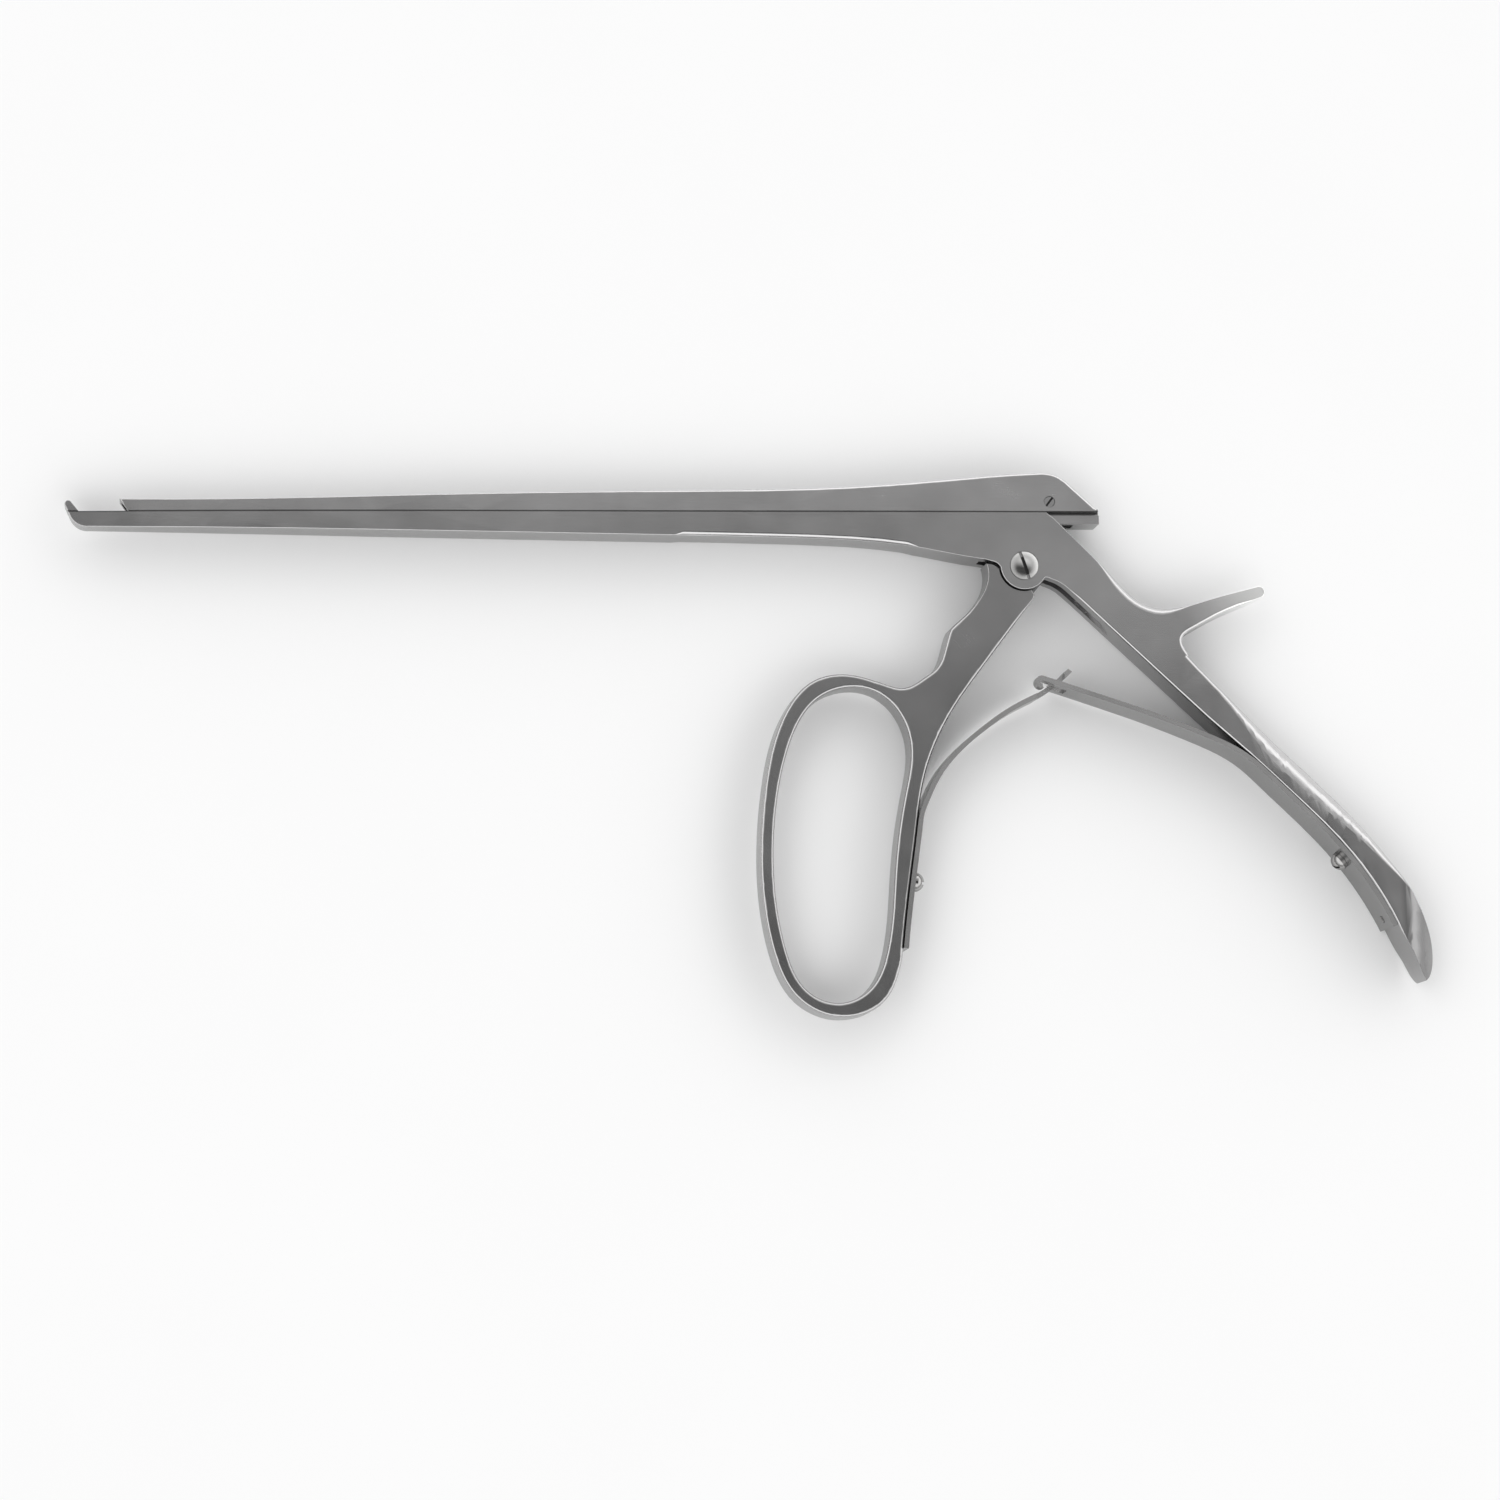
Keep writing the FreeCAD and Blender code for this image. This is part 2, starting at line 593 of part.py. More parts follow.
def add_tongue(body):
    """The thin tongue that turns between the cheeks and drives the slide."""
    back, height = s.drive_pin_back, s.drive_pin_height
    reach = hypot(back, height)
    up = (back / reach, height / reach)
    half = s.fork_half_width

    def spot(far, sideways):
        return (up[0] * far + up[1] * sideways, up[1] * far - up[0] * sideways)

    room = s.drive_pin_radius + s.fork_play
    boss = s.tongue_boss
    rise = s.fork_reach - 0.15
    sketch = new_sketch(body, "XY_Plane", "tongue")
    outline = Outline(sketch, (-6.4, -3.0))
    outline.line((-6.4, 0.2))
    outline.curve(spot(boss + 1.4, -half), leave=(0.3, 1), arrive=up)
    outline.line(spot(rise, -half), spot(rise, -room), spot(s.fork_root + room, -room))
    outline.arc(spot(s.fork_root, 0), spot(s.fork_root + room, room))
    outline.line(spot(rise, room), spot(rise, half), spot(boss + 1.4, half))
    outline.curve((5.6, 0.4), (1.5, -5.8), leave=(-up[0], -up[1]), arrive=(-0.8, -1))
    outline.line((-3.0, -7.6)).close()
    return pad(body, sketch, s.tongue_width, "tongue_pad")


def leaf_sides(points, thickness):
    """The two sides of a leaf whose middle line is a smooth curve through the points."""
    spline = Part.BSplineCurve()
    spline.interpolate(Points=[flat(point) for point in points])
    left, right = [], []
    for point in points:
        tangent = spline.tangent(spline.parameter(flat(point)))[0]
        across = Vector(-tangent.y, tangent.x, 0) * float(thickness) / 2
        left.append((point[0] + across.x, point[1] + across.y))
        right.append((point[0] - across.x, point[1] - across.y))
    return left, right


def leaf_width(body, name, stations):
    """Trim a leaf's two long edges to the half widths given at stations along X."""
    out = s.tail_width
    for side in (1, -1):
        sketch = new_sketch(body, "XZ_Plane", f"{name}_{'upper' if side > 0 else 'lower'}")
        first_x, first_half = stations[0]
        last_x, _ = stations[-1]
        outline = Outline(sketch, (first_x, side * first_half))
        outline.line(*[(x, side * half) for x, half in stations[1:]])
        outline.line((last_x, side * out), (first_x, side * out))
        outline.close()
        pocket(body, sketch, 240.0, f"{name}_cut_{'upper' if side > 0 else 'lower'}")


def seat_lines(seat, stations, thick):
    """The two faces of a leaf along its seat, each as a list of points."""
    low = [seat.at(point, s.seat_gap) for point in stations]
    high = [seat.at(point, s.seat_gap + thick) for point in stations]
    root = seat.at(stations[0], s.seat_gap + thick / 2)
    return low, high, root


def make_front_leaf():
    """The front leaf spring, which ends in a narrow tongue with a T head."""
    body = new_body("front_spring")
    thick = s.leaf_thickness
    seat = FRONT_SEAT
    stations = [*seat.points[:-1], (-25.95, -75.2)]
    low, high, root = seat_lines(seat, stations, thick)
    clear = s.eye_radius + thick / 2 + 0.15
    turn = radians(-52)
    hook = (s.eye_back + clear * cos(turn), -s.eye_drop + clear * sin(turn))
    path = [root, (-20.6, -46.3), (-18.2, -41.6), (-14.4, -36.9), (-8.9, -32.2), (-1.9, -27.6), hook, (8.8, -20.6)]
    left, right = leaf_sides(path, thick)
    back, front = seat.leave
    side = new_sketch(body, "XY_Plane", "side_view")
    outline = Outline(side, low[-1])
    outline.curve(*low[-2::-1])
    outline.curve(*left[1:], leave=(-back, -front), arrive=(1, 1))
    outline.line(right[-1])
    outline.curve(*right[-2:0:-1], high[0], leave=(-1, -1), arrive=(back, front))
    outline.curve(*high[1:])
    outline.close()
    pad(body, side, s.front_leaf_width, "blank")
    wide, narrow = s.front_leaf_end_width / 2, s.front_tongue_width / 2
    leaf_width(body, "edge", [(-22.0, s.front_leaf_width / 2), (1.9, wide), (2.2, narrow), (7.7, narrow),
                              (7.7, s.front_head_width / 2), (10.0, s.front_head_width / 2)])
    drill(body, "screw_hole", seat.at(FRONT_SCREW_SPOT, 2.0), seat.into(FRONT_SCREW_SPOT),
          s.screw_radius + s.hole_play, 3.0, 1.0)
    drill(body, "pin_hole", seat.at(FRONT_PIN_SPOT, 2.0), seat.into(FRONT_PIN_SPOT),
          s.pin_radius + s.hole_play, 3.0, 1.0)
    lift(body)
    return body


def make_rear_leaf():
    """The rear leaf spring, whose end is rolled into an eye beside a window for the front leaf."""
    body = new_body("rear_spring")
    thick = s.leaf_thickness
    seat = REAR_SEAT
    stations = [*seat.points[:-1], (72.2, -71.7)]
    low, high, root = seat_lines(seat, stations, thick)
    eye = (s.eye_back, -s.eye_drop)
    roll = s.eye_radius - thick / 2
    lean = radians(73)
    top = (eye[0] + roll * cos(lean), eye[1] + roll * sin(lean))
    path = [root, (43.8, -38.5), (34.1, -33.4), (24.1, -29.5), (14.2, -26.1), top]
    lower, upper = leaf_sides(path, thick)
    slope_x, slope_y = seat.leave

    def on_eye(radius, angle):
        return (eye[0] + radius * cos(radians(angle)), eye[1] + radius * sin(radians(angle)))

    side = new_sketch(body, "XY_Plane", "side_view")
    bore = s.eye_radius - thick
    outline = Outline(side, low[-1])
    outline.curve(*low[-2::-1])
    outline.curve(*upper[1:-1], on_eye(s.eye_radius, 73), leave=(-slope_x, -slope_y), arrive=(-1, 0.3057))
    outline.arc(on_eye(s.eye_radius, 180), on_eye(s.eye_radius, 285))
    outline.line(on_eye(bore, 285))
    outline.arc(on_eye(bore, 180), on_eye(bore, 73))
    outline.curve(*lower[-2:0:-1], high[0], leave=(1, -0.3057), arrive=(slope_x, slope_y))
    outline.curve(*high[1:])
    outline.close()
    pad(body, side, s.rear_leaf_width, "blank")
    leaf_width(body, "edge", [(-2.0, s.rear_leaf_end_width / 2), (12.0, s.rear_leaf_end_width / 2),
                              (48.0, s.rear_leaf_width / 2)])
    window = new_sketch(body, "XZ_Plane", "window")
    half = s.front_tongue_width / 2 + s.window_play
    rectangle(window, s.eye_back + 1.4, s.eye_back + 5.4, -half, half)
    pocket(body, window, 240.0, "window_cut")
    lip = new_sketch(body, "XZ_Plane", "lip")
    rectangle(lip, -2.0, s.eye_back + 2.6, -s.tail_width, half)
    pocket(body, lip, 240.0, "lip_cut")
    drill(body, "screw_hole", seat.at(REAR_SCREW_SPOT, 2.0), seat.into(REAR_SCREW_SPOT),
          s.screw_radius + s.hole_play, 3.0, 1.0)
    drill(body, "pin_hole", seat.at(REAR_PIN_SPOT, 2.0), seat.into(REAR_PIN_SPOT),
          s.pin_radius + s.hole_play, 3.0, 1.0)
    lift(body)
    return body


def turned(name, profile, slot_width=None, slot_depth=None, slot_size=None, slot_at=None):
    """A turned piece about its own Z axis, with a driver's slot where one is asked for."""
    body = new_body(name)
    sketch = new_sketch(body, "XZ_Plane", "half_profile")
    profile(sketch)
    spin(body, sketch, "turned")
    if slot_width:
        slot = new_sketch(body, "XY_Plane", "driver_slot", slot_at)
        rectangle(slot, -slot_size, slot_size, -slot_width / 2, slot_width / 2)
        pocket(body, slot, slot_depth, "driver_slot_cut", both_ways=False)
    return body


def make_pivot_screw():
    """The pivot: a domed, slotted head sunk in the upper cheek and a shank through both."""
    width, head = s.cheek_width, s.pivot_head_radius
    seat = width / 2 - s.pivot_head_recess
    crown = width / 2 + s.pivot_head_rise

    def profile(sketch):
        outline = Outline(sketch, (0.0, -width / 2))
        outline.line((s.pivot_radius, -width / 2), (s.pivot_radius, seat), (head, seat), (head, width / 2 + 0.1))
        outline.dome(crown).close()

    body = turned("pivot_screw", profile, s.pivot_slot_width, 0.6, head + 1.0, crown)
    body.Placement = Placement(Vector(0, 0, float(width / 2)), Rotation(Vector(0, 0, 1), 108))
    body.setExpression("Placement.Base.z", (width / 2).formula)
    return body


def make_leaf_screw(name, seat, spot, grip):
    """A domed, slotted screw whose head lies on a leaf and whose shank is in the handle."""
    lift_off = s.seat_gap * 2 + s.leaf_thickness
    head, rise = s.screw_head_radius, s.screw_head_height

    def profile(sketch):
        outline = Outline(sketch, (0.0, -grip))
        outline.line((s.screw_radius, -grip), (s.screw_radius, lift_off), (head, lift_off),
                     (head, lift_off + rise * 0.35))
        outline.dome(lift_off + rise).close()

    top = lift_off + rise
    body = turned(name, profile, s.screw_slot_width, s.screw_slot_depth, head + 1.0, top)
    place_on_seat(body, seat, spot)
    return body


def make_leaf_pin(name, seat, spot, grip):
    """A plain locating pin through a leaf's end."""
    top = s.seat_gap + s.leaf_thickness + s.pin_proud

    def profile(sketch):
        outline = Outline(sketch, (0.0, -grip))
        outline.line((s.pin_radius, -grip), (s.pin_radius, top - 0.15), (s.pin_radius - 0.15, top), (0.0, top))
        outline.close()

    body = turned(name, profile)
    place_on_seat(body, seat, spot)
    return body


def place_on_seat(body, seat, spot):
    """Stand a turned piece on a seat, its axis along the seat's outward normal."""
    way = seat.normal(spot)
    lay_down = Rotation(Vector(0, 0, 1), Vector(way[0], way[1], 0))
    body.Placement = Placement(Vector(spot[0], spot[1], float(s.cheek_width / 2)), lay_down)
    body.setExpression("Placement.Base.z", (s.cheek_width / 2).formula)


def make_drive_pin():
    """The cross pin of the slide that the handle's fork pushes."""
    body = new_body("drive_pin")
    sketch = circle(new_sketch(body, "XY_Plane", "section"), (s.drive_pin_back, s.drive_pin_height),
                    s.drive_pin_radius)
    pad(body, sketch, s.cheek_width, "pin")
    lift(body)
    return body


def build():
    return [
        make_frame(),
        make_slide(),
        make_handle(),
        make_pivot_screw(),
        make_drive_pin(),
        make_front_leaf(),
        make_rear_leaf(),
        make_leaf_screw("front_spring_screw", FRONT_SEAT, FRONT_SCREW_SPOT, 1.4),
        make_leaf_screw("rear_spring_screw", REAR_SEAT, REAR_SCREW_SPOT, s.screw_grip),
        make_leaf_pin("front_spring_pin", FRONT_SEAT, FRONT_PIN_SPOT, 1.2),
        make_leaf_pin("rear_spring_pin", REAR_SEAT, REAR_PIN_SPOT, s.pin_grip),
    ]


def write(bodies):
    doc.recompute()
    for item in doc.Objects:
        if "Invalid" in item.State or "Error" in item.State:
            raise RuntimeError(f"{item.Label} is {item.State}")
    os.makedirs("parts", exist_ok=True)
    for body in bodies:
        shape = body.Shape
        if shape.isNull() or not shape.isValid():
            raise RuntimeError(f"{body.Label} has no valid shape")
        box = shape.BoundBox
        print(f"{body.Label}: {len(shape.Solids)} solid, {shape.Volume:.1f} mm3, "
              f"x {box.XMin:.2f} {box.XMax:.2f}, y {box.YMin:.2f} {box.YMax:.2f}, z {box.ZMin:.2f} {box.ZMax:.2f}")
        shape.exportStep(f"parts/{body.Label}.step")


write(build())
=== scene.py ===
from math import cos, radians, sin

import bmesh
import bpy
from bpy.props import FloatProperty, FloatVectorProperty, IntProperty, PointerProperty
from mathutils import Matrix, Vector
from mathutils.bvhtree import BVHTree


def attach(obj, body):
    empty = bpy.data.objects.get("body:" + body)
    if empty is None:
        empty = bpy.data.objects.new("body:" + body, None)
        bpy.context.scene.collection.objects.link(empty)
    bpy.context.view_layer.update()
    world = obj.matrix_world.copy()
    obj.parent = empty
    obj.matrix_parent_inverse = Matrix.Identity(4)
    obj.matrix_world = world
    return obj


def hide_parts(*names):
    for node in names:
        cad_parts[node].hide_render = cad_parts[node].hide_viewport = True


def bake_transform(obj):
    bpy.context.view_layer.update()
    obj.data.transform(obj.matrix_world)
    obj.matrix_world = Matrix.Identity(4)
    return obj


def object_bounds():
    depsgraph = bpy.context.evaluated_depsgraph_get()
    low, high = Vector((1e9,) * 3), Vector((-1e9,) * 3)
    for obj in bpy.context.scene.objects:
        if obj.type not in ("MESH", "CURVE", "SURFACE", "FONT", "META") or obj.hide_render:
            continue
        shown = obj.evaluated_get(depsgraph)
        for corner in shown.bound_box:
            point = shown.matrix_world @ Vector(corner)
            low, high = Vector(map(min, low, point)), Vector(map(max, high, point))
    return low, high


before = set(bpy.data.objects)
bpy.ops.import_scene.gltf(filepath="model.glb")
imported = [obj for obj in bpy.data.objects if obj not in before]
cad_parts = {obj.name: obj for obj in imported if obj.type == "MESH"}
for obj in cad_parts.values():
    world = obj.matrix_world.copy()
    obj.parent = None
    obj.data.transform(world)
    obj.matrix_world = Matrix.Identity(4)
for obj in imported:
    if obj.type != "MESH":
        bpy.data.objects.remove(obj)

bl_info = {
    "name": "Bone Rongeur Finish",
    "version": (1, 0, 0),
    "blender": (4, 5, 0),
    "location": "3D View > Sidebar > Rongeur",
    "description": "Gives the packed bone rongeur its steel finishes, bending leaf springs and studio",
    "category": "Object",
}

MM = 0.001
CAD_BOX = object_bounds()

# The instrument's middle plane, and half the thickness that its outlines are stretched to
MIDDLE = 4.4 * MM
FULL_HALF = 4.4 * MM

# How the outlines of the forgings are read: at that share of the local half thickness, which is the
# greatest one in the neighbourhood. Holes and slots shorter than the smallest outline stay sharp.
OUTLINE_SHARE = 0.86
NEIGHBOURHOOD = 5.0 * MM
SMALLEST_OUTLINE = 100.0 * MM
LONGEST_STRETCH = 1.5 * MM
SHORTEST_STRETCH = 0.03 * MM

# Points that close are one, faces that nearly line up are joined, and edges sharper than the crease
# angle look sharp
WELD = 0.002 * MM
FINE_WELD = 0.001 * MM
CUT_TOLERANCE = 0.0001 * MM
LEVEL_ANGLE = radians(0.1)
CREASE_ANGLE = radians(30.0)
LEAF_CREASE_ANGLE = radians(32.0)

# How far the cutter stands out from the forging, how far inside an edge its height is measured, and
# how much it may widen at a corner of the outline
CUTTER_OVERLAP = 0.15 * MM
JUST_INSIDE = 0.05 * MM
WELL_INSIDE = 0.3 * MM
ON_THE_FACE = 0.1 * MM
LEAST_LEANING = 0.4
MOST_STRETCH = 2.5
ABOVE_ALL = 30.0 * MM
THINNEST_HALF = 1.5 * MM

# The smallest radius, which stands for a sharp edge
SHARP = 0.012 * MM

# Height in millimetres at which the slide rests on the lower shaft, and the painted shade along the seam
# there
SPLIT = 10.8
SEAM_SHADE_HALF_WIDTH = 0.08 * MM
SEAM_SHADE_FADE = 0.2 * MM

# The spur: the way that it points, its root and tip in millimetres, how much its tip is thinned, and the
# colour and reach of the highlight painted on it
SPUR_WAY = (0.936, 0.351, 0.0)
SPUR_ROOT = (31.0, -10.9)
SPUR_TIP = (48.0, -4.5)
SPUR_THINNING = 0.34
SPUR_STEP = 1.0 * MM
SPUR_HIGHLIGHT_COLOUR = (0.98, 0.98, 0.97)
SPUR_HIGHLIGHT_ALONG = (26.0 * MM, 44.0 * MM)
SPUR_HIGHLIGHT_ABOVE = (-17.0 * MM, -13.0 * MM)

# Where the side of the tail starts to round down, and where painted shade darkens it
TAIL_SHADE_ALONG = (72.5 * MM, 75.0 * MM)

# Length of one mark of the satin brush
GRAIN_LENGTH = 3.5 * MM

# The gentle swell that hand grinding leaves on a flat face
SWELL_WIDTH = 34.0 * MM
SWELL_HEIGHT = 0.7 * MM

# The two slotted round ends, in millimetres: centre of the rim, radius, length, dome, width and depth
# of the groove, its direction, and the radius of the shank with the height of the head on it
ROUND_STEPS = 60
DOME_STEPS = 6
CHAMFER = 0.12
GROOVE_LIFT = 0.02
PIVOT_END = {"centre": (0.0, 0.0, 8.95), "radius": 2.78, "depth": 8.9, "rise": 0.38,
             "groove": (0.65, 0.7), "turn": radians(107.7), "shank": (1.79, 0.64)}
PIN_END = {"centre": (5.4, 12.8, 8.8), "radius": 1.1, "depth": 8.75, "rise": 0.0,
           "groove": (0.4, 0.5), "turn": radians(52.0)}
# Heights over the groove floor across which the painted shadow of the groove fades out
GROOVE_SHADOW = (0.05 * MM, 0.3 * MM)

# The stretch of each leaf spring, in millimetres, that is cut across so that it can bend smoothly
FRONT_CUTS = ((-24.0, -52.0, 0.0), (6.0, -22.0, 0.0))
REAR_CUTS = ((50.0, -44.0, 0.0), (4.0, -23.6, 0.0))

# The light tent: the way that its dark top faces, the way in which the top grows lighter, and its
# brightness by how near a direction is to the top
OVERHEAD = Vector((0.136, 0.14, 0.98)).normalized()
LIGHTER_WAY = (0.276, 0.961, 0.0)
TENT = ((0.0, 0.25), (0.15, 0.3), (0.45, 0.95), (0.6, 1.0), (0.75, 0.95), (0.9, 0.3), (0.96, 0.06),
        (1.0, 0.02))
TOP_EDGE = (0.9, 0.985)
TOP_GRADIENT = 1.5
TOP_OFFSET = 0.17
DARKEST = 0.02

# The floor lies that far under the lowest point of the instrument
FLOOR_GAP = 0.02 * MM


# Settings that a user would change

class SteelSettings(bpy.types.PropertyGroup):
    """The satin steel of the forgings and the springs, and the bright steel of the screws."""

    satin_colour: FloatVectorProperty(
        name="Satin steel", description="Colour of the satin forgings",
        subtype="COLOR", size=3, min=0.0, max=1.0, default=(0.62, 0.615, 0.615))
    bright_colour: FloatVectorProperty(
        name="Bright steel", description="Colour of the polished screws and pins",
        subtype="COLOR", size=3, min=0.0, max=1.0, default=(0.88, 0.875, 0.865))
    spring_colour: FloatVectorProperty(
        name="Spring steel", description="Colour of the two leaf springs",
        subtype="COLOR", size=3, min=0.0, max=1.0, default=(0.8, 0.795, 0.79))
    # Painted shade: the small screws and pins of the springs get a darker copy of the screw steel
    shaded_screw_colour: FloatVectorProperty(
        name="Shaded steel", description="Colour of the small screws and pins of the springs",
        subtype="COLOR", size=3, min=0.0, max=1.0, default=(0.4, 0.395, 0.39))
    satin_roughness: FloatProperty(
        name="Satin roughness", description="Roughness of the satin surfaces",
        subtype="FACTOR", min=0.0, max=1.0, default=0.25)
    bright_roughness: FloatProperty(
        name="Bright roughness", description="Roughness of the polished screws and pins",
        subtype="FACTOR", min=0.0, max=1.0, default=0.16)
    grain_size: FloatProperty(
        name="Grain size", description="Width of one mark of the satin brush",
        subtype="DISTANCE", unit="LENGTH", min=0.00005, max=0.002, default=0.00022)
    smudge_size: FloatProperty(
        name="Smudge size", description="Width of the soft cloudy areas on the steel",
        subtype="DISTANCE", unit="LENGTH", min=0.002, max=0.05, default=0.009)


class EdgeSettings(bpy.types.PropertyGroup):
    """How far the long edges of the forgings are rounded."""

    palm: FloatProperty(
        name="Palm", description="Radius along the palm side of the rear handle",
        subtype="DISTANCE", unit="LENGTH", min=0.0005, max=0.005, default=0.0036)
    shoulder: FloatProperty(
        name="Shoulder", description="Radius along the back of the rear handle above its spur",
        subtype="DISTANCE", unit="LENGTH", min=0.0005, max=0.004, default=0.0015)
    grip: FloatProperty(
        name="Grip", description="Radius along the inner sides of both handles and round the spur",
        subtype="DISTANCE", unit="LENGTH", min=0.0001, max=0.003, default=0.0008)
    shaft: FloatProperty(
        name="Shaft", description="Radius along the top of the slide and the bottom of the lower shaft",
        subtype="DISTANCE", unit="LENGTH", min=0.0001, max=0.002, default=0.0009)
    joint: FloatProperty(
        name="Joint", description="Radius of the small edges round the joint and at the tips",
        subtype="DISTANCE", unit="LENGTH", min=0.00005, max=0.001, default=0.00016)
    segments: IntProperty(
        name="Segments", description="Strips across one rounded edge", min=2, max=10, default=5)


class SpringSettings(bpy.types.PropertyGroup):
    """How finely the leaf springs are divided so that they bend smoothly."""

    step: FloatProperty(
        name="Bend step", description="Distance between two cross cuts of a leaf spring",
        subtype="DISTANCE", unit="LENGTH", min=0.0005, max=0.01, default=0.0016)


class StudioSettings(bpy.types.PropertyGroup):
    """The floor, the light and the camera."""

    floor_colour: FloatVectorProperty(
        name="Floor", description="Colour of the plain pale floor",
        subtype="COLOR", size=3, min=0.0, max=1.0, default=(0.92, 0.92, 0.92))
    floor_width: FloatProperty(
        name="Floor width", description="Side of the square floor",
        subtype="DISTANCE", unit="LENGTH", min=0.5, max=20.0, default=6.0)
    light_strength: FloatProperty(
        name="Light", description="Strength of the soft light from all around",
        min=0.0, max=10.0, default=1.6)
    aim: FloatVectorProperty(
        name="Aim", description="Point on the instrument that the camera looks at",
        subtype="XYZ", unit="LENGTH", size=3, default=(-0.05528, -0.03644, 0.0088))
    distance: FloatProperty(
        name="Distance", description="Distance from the camera to its aim",
        subtype="DISTANCE", unit="LENGTH", min=0.1, max=5.0, default=0.8862)
    azimuth: FloatProperty(
        name="Azimuth", description="Camera's direction round the instrument",
        subtype="ANGLE", unit="ROTATION", default=radians(-42.88))
    elevation: FloatProperty(
        name="Elevation", description="Camera's height above the floor, as an angle",
        subtype="ANGLE", unit="ROTATION", default=radians(79.03))
    roll: FloatProperty(
        name="Roll", description="Turn of the camera about its own line of sight",
        subtype="ANGLE", unit="ROTATION", default=radians(-0.233))
    lens: FloatProperty(
        name="Lens", description="Focal length in millimetres for a 36 mm sensor",
        min=10.0, max=300.0, default=109.6)


# Shader nodes

class Wire:
    """One output of a node. Arithmetic on it adds Math nodes."""

    def __init__(self, nodes, socket):
        self.nodes = nodes
        self.socket = socket

    def maths(self, operation, *values, clamp=False):
        settings = {"operation": operation, "use_clamp": clamp}
        return self.nodes.make("ShaderNodeMath", settings, dict(enumerate(values)))

    def __add__(self, other):
        return self.maths("ADD", self, other)

    def __radd__(self, other):
        return self.maths("ADD", other, self)

    def __sub__(self, other):
        return self.maths("SUBTRACT", self, other)

    def __rsub__(self, other):
        return self.maths("SUBTRACT", other, self)

    def __mul__(self, other):
        return self.maths("MULTIPLY", self, other)

    def __rmul__(self, other):
        return self.maths("MULTIPLY", other, self)

    def __truediv__(self, other):
        return self.maths("DIVIDE", self, other)

    def clamped(self):
        return self.maths("ADD", self, 0.0, clamp=True)


class Nodes:
    """The node tree of a material or a world."""

    def __init__(self, tree):
        self.tree = tree
        self.tree.nodes.clear()

    def make(self, kind, settings=None, inputs=None, output=0):
        """Add one node: its settings first, then the values or links of its sockets."""
        node = self.tree.nodes.new(kind)
        for name, value in (settings or {}).items():
            if name == "stops":
                self.set_stops(node.color_ramp, value)
            else:
                setattr(node, name, value)
        for name, value in (inputs or {}).items():
            if isinstance(value, Wire):
                self.tree.links.new(value.socket, node.inputs[name])
            else:
                node.inputs[name].default_value = value
        if not node.outputs:
            return node
        return Wire(self, node.outputs[output])

    def set_stops(self, ramp, stops):
        while len(ramp.elements) > 1:
            ramp.elements.remove(ramp.elements[-1])
        for place, (position, colour) in enumerate(stops):
            element = ramp.elements[0] if place == 0 else ramp.elements.new(position)
            element.position = position
            element.color = colour

    def place(self):
        """The point on the surface in the instrument's own frame."""
        return self.make("ShaderNodeTexCoord", output="Object")

    def facing(self):
        """The way that the surface faces, in the instrument's own frame."""
        return self.make("ShaderNodeTexCoord", output="Normal")

    def cloud(self, vector, size, detail=3.0, rough=0.5):
        """Soft noise from 0 to 1 whose patches are that wide."""
        return self.make("ShaderNodeTexNoise", {"noise_dimensions": "3D"},
                         {"Vector": vector, "Scale": 1.0 / size, "Detail": detail, "Roughness": rough})

    def stretched(self, vector, turn, along, across):
        """The surface's point with its scale drawn out along one direction."""
        scale = (along / across, 1.0, 1.0)
        return self.make("ShaderNodeMapping", {"vector_type": "TEXTURE"},
                         {"Vector": vector, "Rotation": (0.0, 0.0, turn), "Scale": scale})

    def along(self, vector, way):
        """How far a point or direction goes that way."""
        return self.make("ShaderNodeVectorMath", {"operation": "DOT_PRODUCT"}, {0: vector, 1: way}, output=1)

    def blend(self, share, first, second):
        """A colour between two others."""
        return self.make("ShaderNodeMix", {"data_type": "RGBA", "blend_type": "MIX"},
                         {0: share, 6: first, 7: second}, output=2)

    def smooth(self, value, start, end):
        """0 before start, 1 after end, and a smooth step between."""
        return self.make("ShaderNodeMapRange", {"interpolation_type": "SMOOTHSTEP"},
                         {"Value": value, "From Min": start, "From Max": end})

    def bump(self, height, distance, strength, over=None):
        sockets = {"Height": height, "Distance": distance, "Strength": strength}
        if over:
            sockets["Normal"] = over
        return self.make("ShaderNodeBump", None, sockets)

    def finish(self, shader):
        self.make("ShaderNodeOutputMaterial", None, {"Surface": shader})


def colour(rgb, gain=1.0):
    """A colour with its alpha, made lighter or darker."""
    return (*[min(channel * gain, 1.0) for channel in rgb], 1.0)


